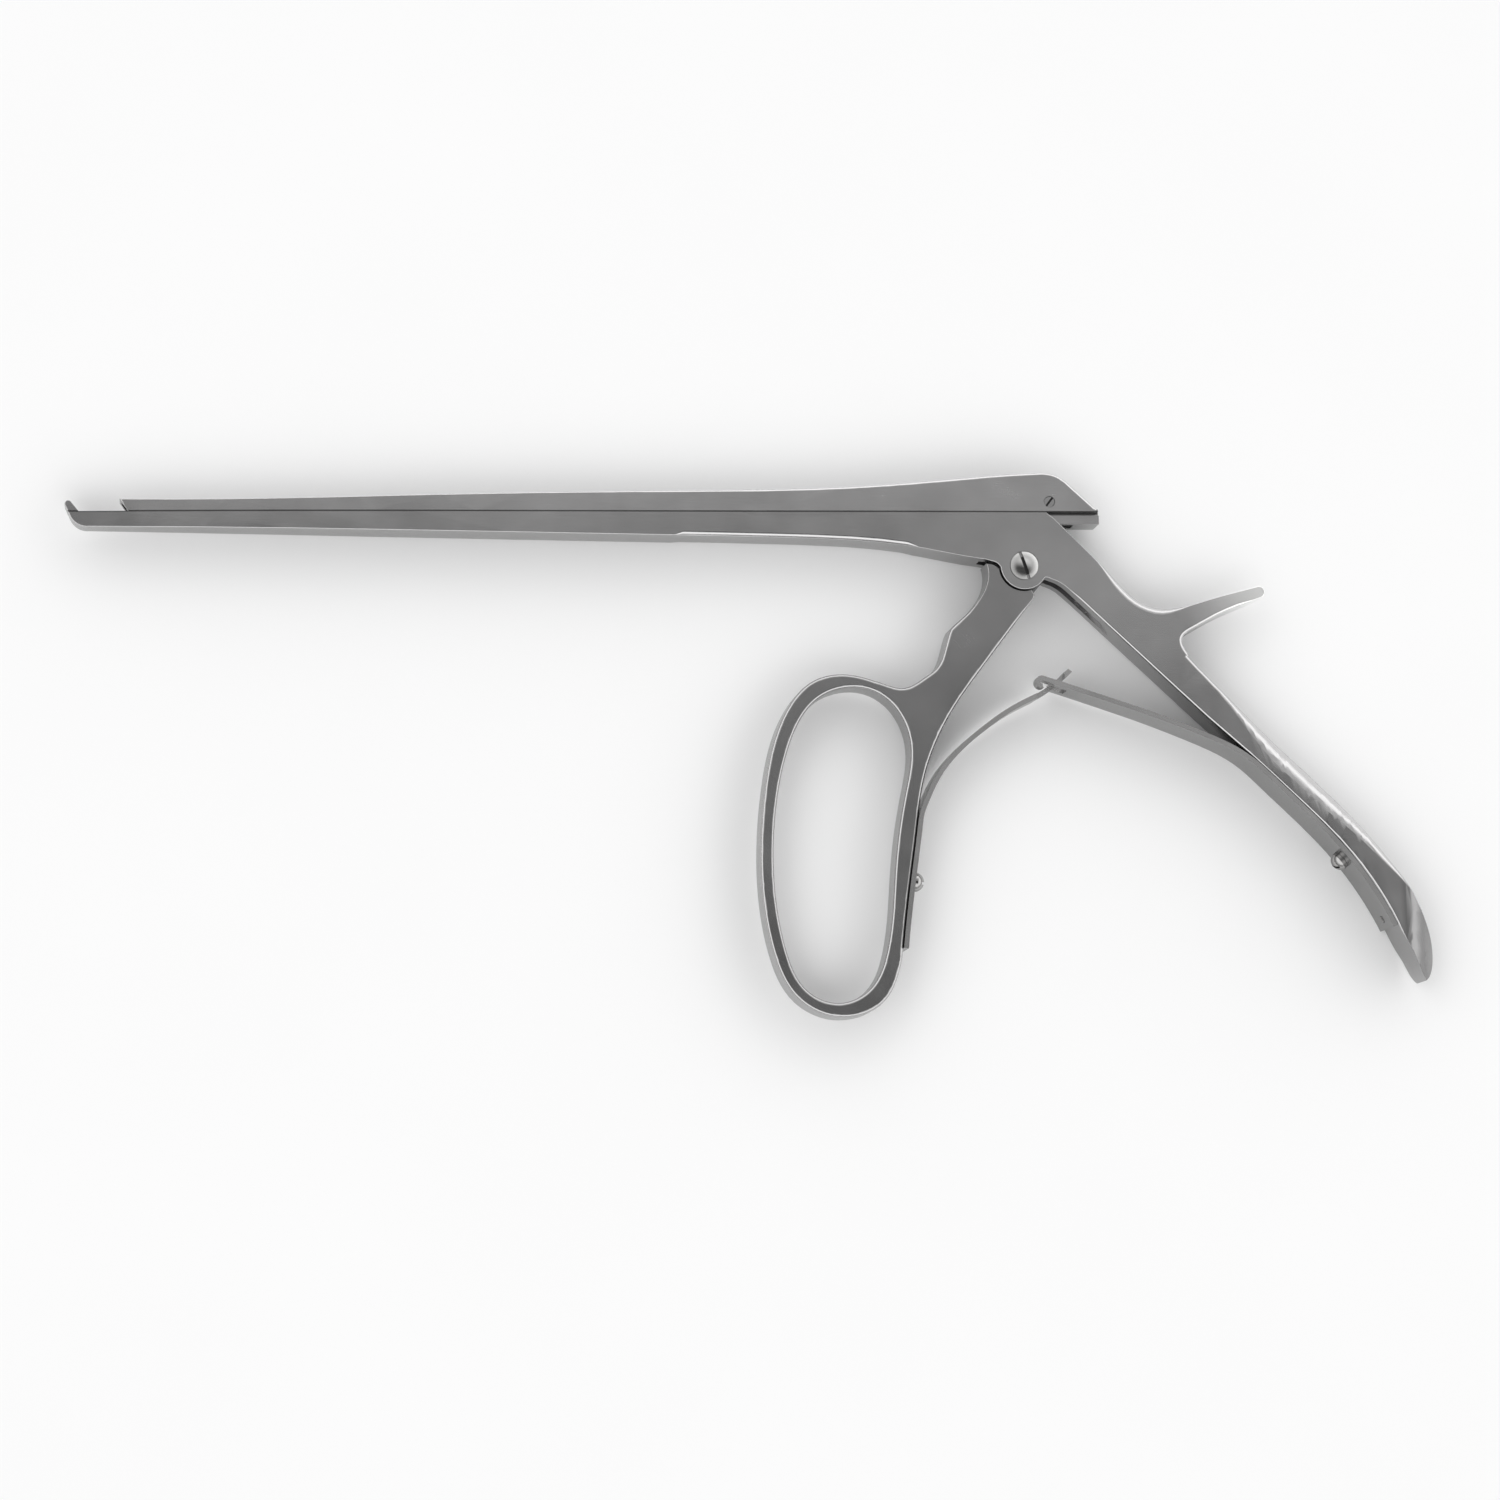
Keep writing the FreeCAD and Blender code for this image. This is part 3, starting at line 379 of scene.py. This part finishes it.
def steel(name, rgb, roughness, grain, smudge, turn=0.0, grain_depth=0.012, spread=0.05, wall_shade=0.42,
          swell_height=SWELL_HEIGHT, painted_frame_light=False, groove_floor=None):
    """Stainless steel with a fine brushed grain and faint cloudy patches.

    Side faces get painted shade: they are darker than the level faces by the given share. If asked, a piece
    also gets painted shade in the seam where slide and shaft meet, a painted highlight on the spur and
    painted shade on the tail. A slotted one gets painted shadow in its groove, and all of it below the groove
    floor is dark.
    """
    material = bpy.data.materials.new(name)
    material.use_nodes = True
    nodes = Nodes(material.node_tree)
    place = nodes.place()
    brushed = nodes.cloud(nodes.stretched(place, turn, GRAIN_LENGTH, grain), grain, 2.0, 0.6)
    speckle = nodes.cloud(place, grain * 0.7, 2.0, 0.7)
    patches = nodes.cloud(place, smudge, 4.0, 0.55)
    marks = brushed * 0.6 + speckle * 0.4
    share = (marks * 0.35 + patches * 0.65).clamped()
    # Painted shade: faces that stand on edge are darker than the level faces by the given share
    upright = nodes.make("ShaderNodeSeparateXYZ", None, {"Vector": nodes.facing()}, output=2)
    level = nodes.smooth(upright.maths("ABSOLUTE", upright), 0.1, 0.5)
    finish = nodes.blend(share, colour(rgb, 0.9), colour(rgb, 1.1))
    base = nodes.blend(level, colour(rgb, wall_shade), finish)
    # Painted light and shade on the frame and slide: a highlight on the spur, shade on the tail and in the
    # seam
    if painted_frame_light:
        across = nodes.make("ShaderNodeSeparateXYZ", None, {"Vector": place}, output=1)
        # Painted highlight: the spur is painted nearly white
        along = nodes.along(place, SPUR_WAY)
        spur_highlight = nodes.smooth(along, *SPUR_HIGHLIGHT_ALONG) * nodes.smooth(across, *SPUR_HIGHLIGHT_ABOVE)
        base = nodes.blend(spur_highlight, base, colour(SPUR_HIGHLIGHT_COLOUR))
        # Painted shade: the tail is painted darker towards its end
        back = nodes.make("ShaderNodeSeparateXYZ", None, {"Vector": place}, output=0)
        base = nodes.blend(nodes.smooth(back, *TAIL_SHADE_ALONG), base, colour(rgb, 0.5))
        # Painted shade: a dark line along the seam where the slide rests on the lower shaft
        gap = across - SPLIT * MM
        clear_of_seam_shade = nodes.smooth(gap.maths("ABSOLUTE", gap), SEAM_SHADE_HALF_WIDTH, SEAM_SHADE_FADE)
        base = nodes.blend(clear_of_seam_shade, colour(rgb, 0.22), base)
    # Painted shadow in the groove of a slotted end; everything of the piece below the groove floor is painted
    # dark too
    if groove_floor:
        height = nodes.make("ShaderNodeSeparateXYZ", None, {"Vector": place}, output=2)
        out_of_groove = nodes.smooth(height, *[groove_floor + rise for rise in GROOVE_SHADOW])
        base = nodes.blend(out_of_groove, colour(rgb, 0.12), base)
    rough = (roughness - spread * 1.5 + marks * spread + patches * (spread * 2.0)).clamped()
    fine = nodes.bump(marks, grain_depth * MM, 0.35)
    swell = nodes.cloud(place, SWELL_WIDTH, 1.0, 0.4)
    normal = nodes.bump(swell, swell_height, 1.0, fine)
    shader = nodes.make("ShaderNodeBsdfPrincipled", None, {
        "Base Color": base, "Metallic": 1.0, "Roughness": rough, "Normal": normal})
    nodes.finish(shader)
    return material


def dress(node, material):
    """Give a CAD node's material slots one finish."""
    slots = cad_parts[node].material_slots
    for slot in slots:
        slot.material = material


# The pieces

def slotted_end(name, node, body, slot, material, centre, radius, depth, rise, groove, turn, shank=None):
    """A round end, a little domed, with a screwdriver's groove right across it."""
    x, y, z = centre
    work = bmesh.new()
    rings = []
    crown = radius - CHAMFER
    profile = [(radius, -CHAMFER), (crown, 0.0)]
    if shank:
        reach, head = shank
        profile = [(reach, -depth), (reach, -head), (radius, -head), *profile]
    else:
        profile = [(radius, -depth), *profile]
    outward = [1 - step / DOME_STEPS for step in range(1, DOME_STEPS)]
    profile += [(crown * share, rise * (1 - share ** 2)) for share in outward]
    angles = [radians(360.0 * step / ROUND_STEPS) for step in range(ROUND_STEPS)]
    for reach, height in profile:
        corners = [Vector((x + reach * cos(angle), y + reach * sin(angle), z + height)) for angle in angles]
        rings.append([work.verts.new(corner * MM) for corner in corners])
    for lower, upper in zip(rings, rings[1:]):
        for step in range(ROUND_STEPS):
            work.faces.new((lower[step - 1], lower[step], upper[step], upper[step - 1]))
    work.faces.new(rings[-1])
    work.faces.new(reversed(rings[0]))
    mesh = bpy.data.meshes.new(name)
    work.to_mesh(mesh)
    work.free()
    wide, deep = groove
    work = bmesh.new()
    bmesh.ops.create_cube(work, size=1.0)
    bmesh.ops.scale(work, vec=(3 * radius * MM, wide * MM, 2 * deep * MM), verts=work.verts)
    bmesh.ops.rotate(work, matrix=Matrix.Rotation(turn, 3, "Z"), verts=work.verts)
    bmesh.ops.translate(work, vec=Vector((x, y, z + GROOVE_LIFT)) * MM, verts=work.verts)
    cutter_mesh = bpy.data.meshes.new(f"{name}_groove")
    work.to_mesh(cutter_mesh)
    work.free()
    piece = bpy.data.objects.new(name, mesh)
    cutter = bpy.data.objects.new(f"{name}_groove", cutter_mesh)
    carve(piece, cutter, material)
    settle(piece, node, body)
    return piece


def groove_floor(end):
    """Height of the bottom of the groove in a slotted end."""
    return (end["centre"][2] + GROOVE_LIFT - end["groove"][1]) * MM


class BuildFasteners(bpy.types.Operator):
    """Build the slotted pivot screw and drive pin, and dress the spring screws and their pins"""
    bl_idname = "rongeur.build_fasteners"
    bl_label = "Screws and Pins"

    def execute(self, context):
        settings = context.scene.rongeur_steel
        polish = {"grain": settings.grain_size, "smudge": settings.smudge_size * 0.4, "grain_depth": 0.003,
                  "spread": 0.03, "roughness": settings.bright_roughness}
        bright = steel("Bright screw steel", settings.bright_colour, wall_shade=0.6, swell_height=0.0,
                       groove_floor=groove_floor(PIVOT_END), **polish)
        # Painted shade: a darker copy of the screw steel for the spring screws and their pins
        dark = steel("Shaded screw steel", settings.shaded_screw_colour, wall_shade=0.5, **polish)
        satin = steel("Satin pin steel", settings.satin_colour, settings.satin_roughness, settings.grain_size,
                      settings.smudge_size, wall_shade=0.6, groove_floor=groove_floor(PIN_END))
        slotted_end("slotted_pivot_screw", "pivot_screw", "frame", "bright_steel", bright, **PIVOT_END)
        slotted_end("slotted_drive_pin", "drive_pin", "slide", "satin_steel", satin, **PIN_END)
        for node in ("front_spring_screw", "rear_spring_screw", "front_spring_pin", "rear_spring_pin"):
            dress(node, dark)
        return {"FINISHED"}


def plain_copy(name, node, material):
    """A copy of a CAD node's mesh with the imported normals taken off."""
    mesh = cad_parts[node].data.copy()
    mesh.name = name
    kept_normals = mesh.attributes.get("custom_normal")
    if kept_normals:
        mesh.attributes.remove(kept_normals)
    mesh.materials.clear()
    mesh.materials.append(material)
    return mesh


class OuterFace:
    """Half the thickness of a forging at a place, found by a ray onto its outer face."""

    def __init__(self, mesh):
        work = bmesh.new()
        work.from_mesh(mesh)
        self.tree = BVHTree.FromBMesh(work)
        work.free()

    def __call__(self, spot):
        hit = self.tree.ray_cast(Vector((spot.x, spot.y, ABOVE_ALL)), Vector((0, 0, -1)))[0]
        return hit.z - MIDDLE if hit and hit.z > MIDDLE + THINNEST_HALF else None


def outlines(mesh):
    """The closed outlines, as lists of points, where a level plane near the outer face cuts a forging."""
    work = bmesh.new()
    work.from_mesh(mesh)
    bmesh.ops.remove_doubles(work, verts=work.verts, dist=WELD)
    heights = [(vertex.co.x, abs(vertex.co.z - MIDDLE)) for vertex in work.verts]
    tallest = [max(half for x, half in heights if abs(x - vertex.co.x) < NEIGHBOURHOOD)
               for vertex in work.verts]
    for vertex, half in zip(work.verts, tallest):
        vertex.co.z = MIDDLE + (vertex.co.z - MIDDLE) / half * FULL_HALF
    everything = work.verts[:] + work.edges[:] + work.faces[:]
    cut = bmesh.ops.bisect_plane(
        work, geom=everything, dist=CUT_TOLERANCE, plane_co=(0, 0, MIDDLE + OUTLINE_SHARE * FULL_HALF),
        plane_no=(0, 0, 1), clear_inner=True, clear_outer=True)["geom_cut"]
    edges = {part for part in cut if isinstance(part, bmesh.types.BMEdge)}
    loops = []
    while edges:
        edge = edges.pop()
        first, corner = edge.verts
        loop = [first.co.xy, corner.co.xy]
        while corner != first:
            edge = next(part for part in corner.link_edges if part in edges)
            edges.remove(edge)
            corner = edge.other_vert(corner)
            loop.append(corner.co.xy)
        loops.append([point.copy() for point in loop[:-1]])
    work.free()
    loops = [divided(loop) for loop in loops if length_of(loop) > SMALLEST_OUTLINE]
    return sorted(loops, key=length_of, reverse=True)


def length_of(loop):
    return sum((point - loop[place - 1]).length for place, point in enumerate(loop))


def divided(loop):
    """An outline without points that nearly touch, and with its long straight stretches divided."""
    points = []
    for place, end in enumerate(loop):
        start = loop[place - 1]
        gap = (end - start).length
        if gap < SHORTEST_STRETCH:
            continue
        count = max(int(gap / LONGEST_STRETCH), 1)
        points += [start.lerp(end, (part + 1) / count) for part in range(count)]
    return points


def quarter_round(radius, segments):
    """The rounded edge in profile: how far in from the edge, and how far under the face."""
    angles = [radians(90.0) * step / segments for step in range(segments + 1)]
    return [(radius * (1 - sin(angle)), radius * (1 - cos(angle))) for angle in angles]


def corner_cutter(loops, radius_at, half_at, segments):
    """The waste outside the rounded edges along each outline, on both faces of a forging."""
    work = bmesh.new()
    out = CUTTER_OVERLAP
    for loop in loops:
        count = len(loop)
        area = sum(loop[place - 1].cross(point) for place, point in enumerate(loop))
        turn = 1.0 if (area > 0) == (loop is loops[0]) else -1.0
        for side in (1, -1):
            rings = []
            for place, point in enumerate(loop):
                before = (point - loop[place - 1]).normalized()
                after = (loop[(place + 1) % count] - point).normalized()
                way = before + after
                inward = Vector((-way.y, way.x)).normalized() * turn
                leaning = inward.dot(Vector((-after.y, after.x)) * turn)
                stretch = min(1.0 / max(leaning, LEAST_LEANING), MOST_STRETCH)
                radius = max(radius_at(point / MM), SHARP)
                near_edge = half_at(point + inward * JUST_INSIDE)
                rim = near_edge or half_at(point + inward * WELL_INSIDE) or FULL_HALF
                ring = []
                arc = quarter_round(radius, segments)
                for inside, depth in [(radius, -out), *arc, (-out, radius), (-out, -out)]:
                    spot = point + inward * (inside * stretch)
                    height = (half_at(spot) if inside > ON_THE_FACE else None) or rim
                    ring.append(work.verts.new((spot.x, spot.y, MIDDLE + side * (height - depth))))
                rings.append(ring)
            for place, ring in enumerate(rings):
                last = rings[place - 1]
                for step, corner in enumerate(ring):
                    work.faces.new((last[step - 1], last[step], corner, ring[step - 1]))
    bmesh.ops.recalc_face_normals(work, faces=work.faces)
    mesh = bpy.data.meshes.new("waste")
    work.to_mesh(mesh)
    work.free()
    return mesh


def carve(piece, waste, material):
    """Take one shape from another and even out the normals of what is left."""
    for part in (piece, waste):
        bpy.context.scene.collection.objects.link(part)
    cut = piece.modifiers.new("Cut", "BOOLEAN")
    cut.operation = "DIFFERENCE"
    cut.solver = "EXACT"
    cut.use_self = True
    cut.object = waste
    evaluated = piece.evaluated_get(bpy.context.evaluated_depsgraph_get())
    finished = bpy.data.meshes.new_from_object(evaluated)
    piece.modifiers.clear()
    bpy.data.objects.remove(waste)
    piece.data = finished
    finished.materials.clear()
    finished.materials.append(material)
    finished.polygons.foreach_set("use_smooth", [True] * len(finished.polygons))
    finished.set_sharp_from_angle(angle=CREASE_ANGLE)
    even = piece.modifiers.new("Even normals", "WEIGHTED_NORMAL")
    even.keep_sharp = True
    even.weight = 100


def settle(piece, node, body):
    """Put a finished piece in the place of its CAD node."""
    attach(piece, body)
    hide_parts(node)


def rounded(name, node, body, material, radius_at, segments):
    """A copy of a forging whose long edges are rounded by a radius that varies along them."""
    mesh = plain_copy(name, node, material)
    work = bmesh.new()
    work.from_mesh(mesh)
    bmesh.ops.remove_doubles(work, verts=work.verts, dist=WELD)
    level = [edge for edge in work.edges
             if len(edge.link_faces) == 2 and edge.calc_face_angle() < LEVEL_ANGLE
             and abs(edge.link_faces[0].normal.z) > 0.9]
    bmesh.ops.dissolve_edges(work, edges=level)
    work.to_mesh(mesh)
    work.free()
    piece = bpy.data.objects.new(name, mesh)
    waste_mesh = corner_cutter(outlines(mesh), radius_at, OuterFace(mesh), segments)
    waste = bpy.data.objects.new(f"{name}_waste", waste_mesh)
    carve(piece, waste, material)
    settle(piece, node, body)
    return piece


def above_palm(point):
    """Whether a point, in millimetres, lies on the spur's side of the rear handle."""
    return point.y > 0.95 * point.x - 53.5


def under_spur(point):
    return point.x > 28.0 and point.y < 0.433 * point.x - 25.8


def on_inner_side(point):
    """Whether a point, in millimetres, lies on the side of the rear handle that faces the ring."""
    return point.y < 14.6 - 1.099 * point.x


def between(first, last, share):
    return first + (last - first) * share


def taper_spur(mesh):
    """Thin the spur from its root to its tip, ever faster."""
    root, tip = Vector(SPUR_ROOT), Vector(SPUR_TIP)
    way = (tip - root) / (tip - root).length_squared
    cut_across(mesh, planes((*root, 0.0), (*tip, 0.0), SPUR_STEP))
    for vertex in mesh.vertices:
        point = vertex.co.xy / MM
        share = min((point - root).dot(way), 1.0)
        if share > 0 and above_palm(point):
            vertex.co.z = MIDDLE + (vertex.co.z - MIDDLE) * (1.0 - SPUR_THINNING * share * share)


def ramp(value, start, end):
    """0 before start, 1 after end, and a smooth step between."""
    share = min(max((value - start) / (end - start), 0.0), 1.0)
    return share * share * (3 - 2 * share)


def frame_radius(point, edges):
    """The edge radius of the frame at a point of its outline, in millimetres."""
    if abs(point.y - SPLIT) < 0.3:
        return SHARP
    if point.x < 9.0:
        low_on_shaft = point.x < -22.0 and point.y < 6.0
        return edges.shaft if low_on_shaft else edges.joint
    at_tail = ramp(point.x, 70.0, 76.5)
    if on_inner_side(point):
        return between(edges.grip * 0.6, SHARP, at_tail)
    if above_palm(point):
        if under_spur(point):
            return between(edges.joint, edges.grip, 1.0 - ramp(point.x, 43.0, 47.0))
        on_shoulder = ramp(point.x, 14.0, 20.0) * (1.0 - ramp(point.x, 26.0, 34.0))
        return between(edges.joint, edges.shoulder, on_shoulder)
    on_palm = ramp(point.x, 37.0, 52.0) * (1.0 - 0.75 * ramp(point.x, 58.0, 73.0))
    return between(between(edges.grip, edges.palm, on_palm), SHARP, at_tail)


def slide_radius(point, edges):
    """The edge radius of the slide at a point of its outline, in millimetres."""
    if abs(point.y - SPLIT) < 0.5:
        return SHARP
    return between(edges.joint, edges.shaft * 0.6, ramp(point.x, -130.0, -20.0))


def handle_radius(point, edges):
    """The edge radius of the ring handle at a point of its outline, in millimetres."""
    return between(edges.grip * 0.8, edges.joint, ramp(point.y, -12.0, -5.0))


class BuildForgings(bpy.types.Operator):
    """Build the frame, the slide and the ring handle with their edges rounded"""
    bl_idname = "rongeur.build_forgings"
    bl_label = "Rounded Forgings"

    def execute(self, context):
        steels, edges = context.scene.rongeur_steel, context.scene.rongeur_edges
        satin = {"roughness": steels.satin_roughness, "grain": steels.grain_size,
                 "smudge": steels.smudge_size}

        # Painted light and shade: the slide gets a lighter copy and the ring handle a darker copy of the
        # frame's satin steel
        def shade(gain):
            return [channel * gain for channel in steels.satin_colour]

        shaft = steel("Satin frame steel", shade(1.0), wall_shade=0.5, painted_frame_light=True, **satin)
        slide = steel("Satin slide steel", shade(1.15), wall_shade=0.5, painted_frame_light=True, **satin)
        grips = steel("Satin handle steel", shade(0.8), wall_shade=0.65, turn=radians(-45.0), **satin)
        forging = rounded("soft_frame", "frame", "frame", shaft,
                          lambda point: frame_radius(point, edges), edges.segments)
        taper_spur(forging.data)
        rounded("soft_slide", "slide", "slide", slide,
                lambda point: slide_radius(point, edges), edges.segments)
        rounded("soft_handle", "front_handle", "front_handle", grips,
                lambda point: handle_radius(point, edges), edges.segments)
        return {"FINISHED"}


def cut_across(mesh, cuts):
    """Divide a mesh by planes, each given as a point and a normal, so that it can bend there."""
    work = bmesh.new()
    work.from_mesh(mesh)
    bmesh.ops.remove_doubles(work, verts=work.verts, dist=FINE_WELD)
    for point, normal in cuts:
        everything = work.verts[:] + work.edges[:] + work.faces[:]
        bmesh.ops.bisect_plane(work, geom=everything, dist=CUT_TOLERANCE, plane_co=point, plane_no=normal)
    work.normal_update()
    work.to_mesh(mesh)
    work.free()
    mesh.polygons.foreach_set("use_smooth", [True] * len(mesh.polygons))
    mesh.set_sharp_from_angle(angle=LEAF_CREASE_ANGLE)


def bending_leaf(name, node, material, cuts):
    """A copy of a leaf spring that is divided finely enough to bend."""
    mesh = plain_copy(name, node, material)
    cut_across(mesh, cuts)
    leaf = bpy.data.objects.new(name, mesh)
    bpy.context.scene.collection.objects.link(leaf)
    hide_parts(node)
    return leaf


def planes(start, end, step):
    """Cutting planes across the line from start to end, one at each step."""
    first, last = Vector(start) * MM, Vector(end) * MM
    way = last - first
    count = max(int(way.length / step), 1)
    return [(first + way * (place / count), way.normalized()) for place in range(count + 1)]


class BuildSprings(bpy.types.Operator):
    """Build the two leaf springs, each cut finely across so that it can bend"""
    bl_idname = "rongeur.build_springs"
    bl_label = "Bending Leaf Springs"

    def execute(self, context):
        steels = context.scene.rongeur_steel
        step = context.scene.rongeur_springs.step
        material = steel("Satin spring steel", steels.spring_colour, steels.satin_roughness,
                         steels.grain_size, steels.smudge_size, turn=radians(-30.0), grain_depth=0.003,
                         wall_shade=0.32, swell_height=SWELL_HEIGHT * 0.3)
        front = bending_leaf("front_leaf_spring", "front_spring", material, planes(*FRONT_CUTS, step))
        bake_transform(front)
        rear = bending_leaf("rear_leaf_spring", "rear_spring", material, planes(*REAR_CUTS, step))
        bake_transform(rear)
        return {"FINISHED"}


# The stage

def add_floor(settings):
    """A plain pale floor under the instrument."""
    lowest = CAD_BOX[0].z
    half, level = settings.floor_width / 2, lowest - FLOOR_GAP
    mesh = bpy.data.meshes.new("floor")
    work = bmesh.new()
    corners = [work.verts.new((x * half, y * half, level)) for x, y in ((-1, -1), (1, -1), (1, 1), (-1, 1))]
    work.faces.new(corners)
    work.to_mesh(mesh)
    work.free()
    material = bpy.data.materials.new("Pale floor")
    material.use_nodes = True
    nodes = Nodes(material.node_tree)
    patches = nodes.cloud(nodes.place(), 0.05, 3.0, 0.5)
    base = nodes.blend(patches, colour(settings.floor_colour, 0.99), colour(settings.floor_colour, 1.01))
    nodes.finish(nodes.make("ShaderNodeBsdfPrincipled", None, {
        "Base Color": base, "Roughness": 0.9, "Specular IOR Level": 0.0}))
    mesh.materials.append(material)
    floor = bpy.data.objects.new("floor", mesh)
    bpy.context.scene.collection.objects.link(floor)


def add_light(settings):
    """A light tent: bright low down all around, dim round the camera overhead."""
    world = bpy.data.worlds.new("Light tent")
    world.use_nodes = True
    nodes = Nodes(world.node_tree)
    way = nodes.make("ShaderNodeTexCoord", output="Generated")
    height = nodes.along(way, OVERHEAD)
    slope = nodes.along(way, LIGHTER_WAY)
    stops = [(place, (grey, grey, grey, 1.0)) for place, grey in TENT]
    tent = nodes.make("ShaderNodeValToRGB", {"stops": stops}, {"Fac": height})
    cap = nodes.smooth(height, *TOP_EDGE)
    level = nodes.make("ShaderNodeRGBToBW", None, {"Color": tent})
    grey = level + cap * (slope * TOP_GRADIENT - TOP_OFFSET)
    glow = grey.maths("MAXIMUM", grey, DARKEST)
    tent = nodes.make("ShaderNodeCombineColor", {"mode": "RGB"}, {"Red": glow, "Green": glow, "Blue": glow})
    light = nodes.make("ShaderNodeBackground", None, {"Color": tent, "Strength": settings.light_strength})
    nodes.make("ShaderNodeOutputWorld", None, {"Surface": light})
    bpy.context.scene.world = world
    bpy.context.scene.view_settings.view_transform = "Standard"


def add_camera(settings):
    """The camera at the photograph's viewing angle."""
    aim = Vector(settings.aim)
    level = cos(settings.elevation)
    way = Vector((level * sin(settings.azimuth), -level * cos(settings.azimuth), sin(settings.elevation)))
    forward = -way
    right = (Vector((1.0, 0.0, 0.0)) - forward * forward.x).normalized()
    up = right.cross(forward)
    turned_right = right * cos(settings.roll) + up * sin(settings.roll)
    turned_up = up * cos(settings.roll) - right * sin(settings.roll)
    lens = bpy.data.cameras.new("camera")
    lens.lens = settings.lens
    lens.sensor_width = 36.0
    lens.clip_start = 0.01
    lens.clip_end = 50.0
    camera = bpy.data.objects.new("camera", lens)
    turn = Matrix((turned_right, turned_up, way)).transposed()
    camera.matrix_world = Matrix.Translation(aim + way * settings.distance) @ turn.to_4x4()
    bpy.context.scene.collection.objects.link(camera)
    bpy.context.scene.camera = camera


class SetStage(bpy.types.Operator):
    """Put the instrument on a pale floor in soft light, with the camera at the photograph's angle"""
    bl_idname = "rongeur.set_stage"
    bl_label = "Floor, Light and Camera"

    def execute(self, context):
        settings = context.scene.rongeur_studio
        add_camera(settings)
        add_floor(settings)
        add_light(settings)
        return {"FINISHED"}


class RongeurPanel(bpy.types.Panel):
    """Steps that dress the bone rongeur"""
    bl_idname = "VIEW3D_PT_rongeur"
    bl_label = "Bone Rongeur"
    bl_space_type = "VIEW_3D"
    bl_region_type = "UI"
    bl_category = "Rongeur"

    def draw(self, context):
        for step in STEPS:
            self.layout.operator(step.bl_idname)


STEPS = (SetStage, BuildForgings, BuildFasteners, BuildSprings)
GROUPS = {"rongeur_steel": SteelSettings, "rongeur_edges": EdgeSettings, "rongeur_springs": SpringSettings,
          "rongeur_studio": StudioSettings}


def register():
    for kind in (*GROUPS.values(), *STEPS, RongeurPanel):
        bpy.utils.register_class(kind)
    for name, kind in GROUPS.items():
        setattr(bpy.types.Scene, name, PointerProperty(type=kind))


def unregister():
    for name in GROUPS:
        delattr(bpy.types.Scene, name)
    for kind in (RongeurPanel, *STEPS, *GROUPS.values()):
        bpy.utils.unregister_class(kind)


def main():
    register()
    bpy.ops.rongeur.set_stage()
    bpy.ops.rongeur.build_forgings()
    bpy.ops.rongeur.build_fasteners()
    bpy.ops.rongeur.build_springs()


if __name__ == "__main__":
    main()
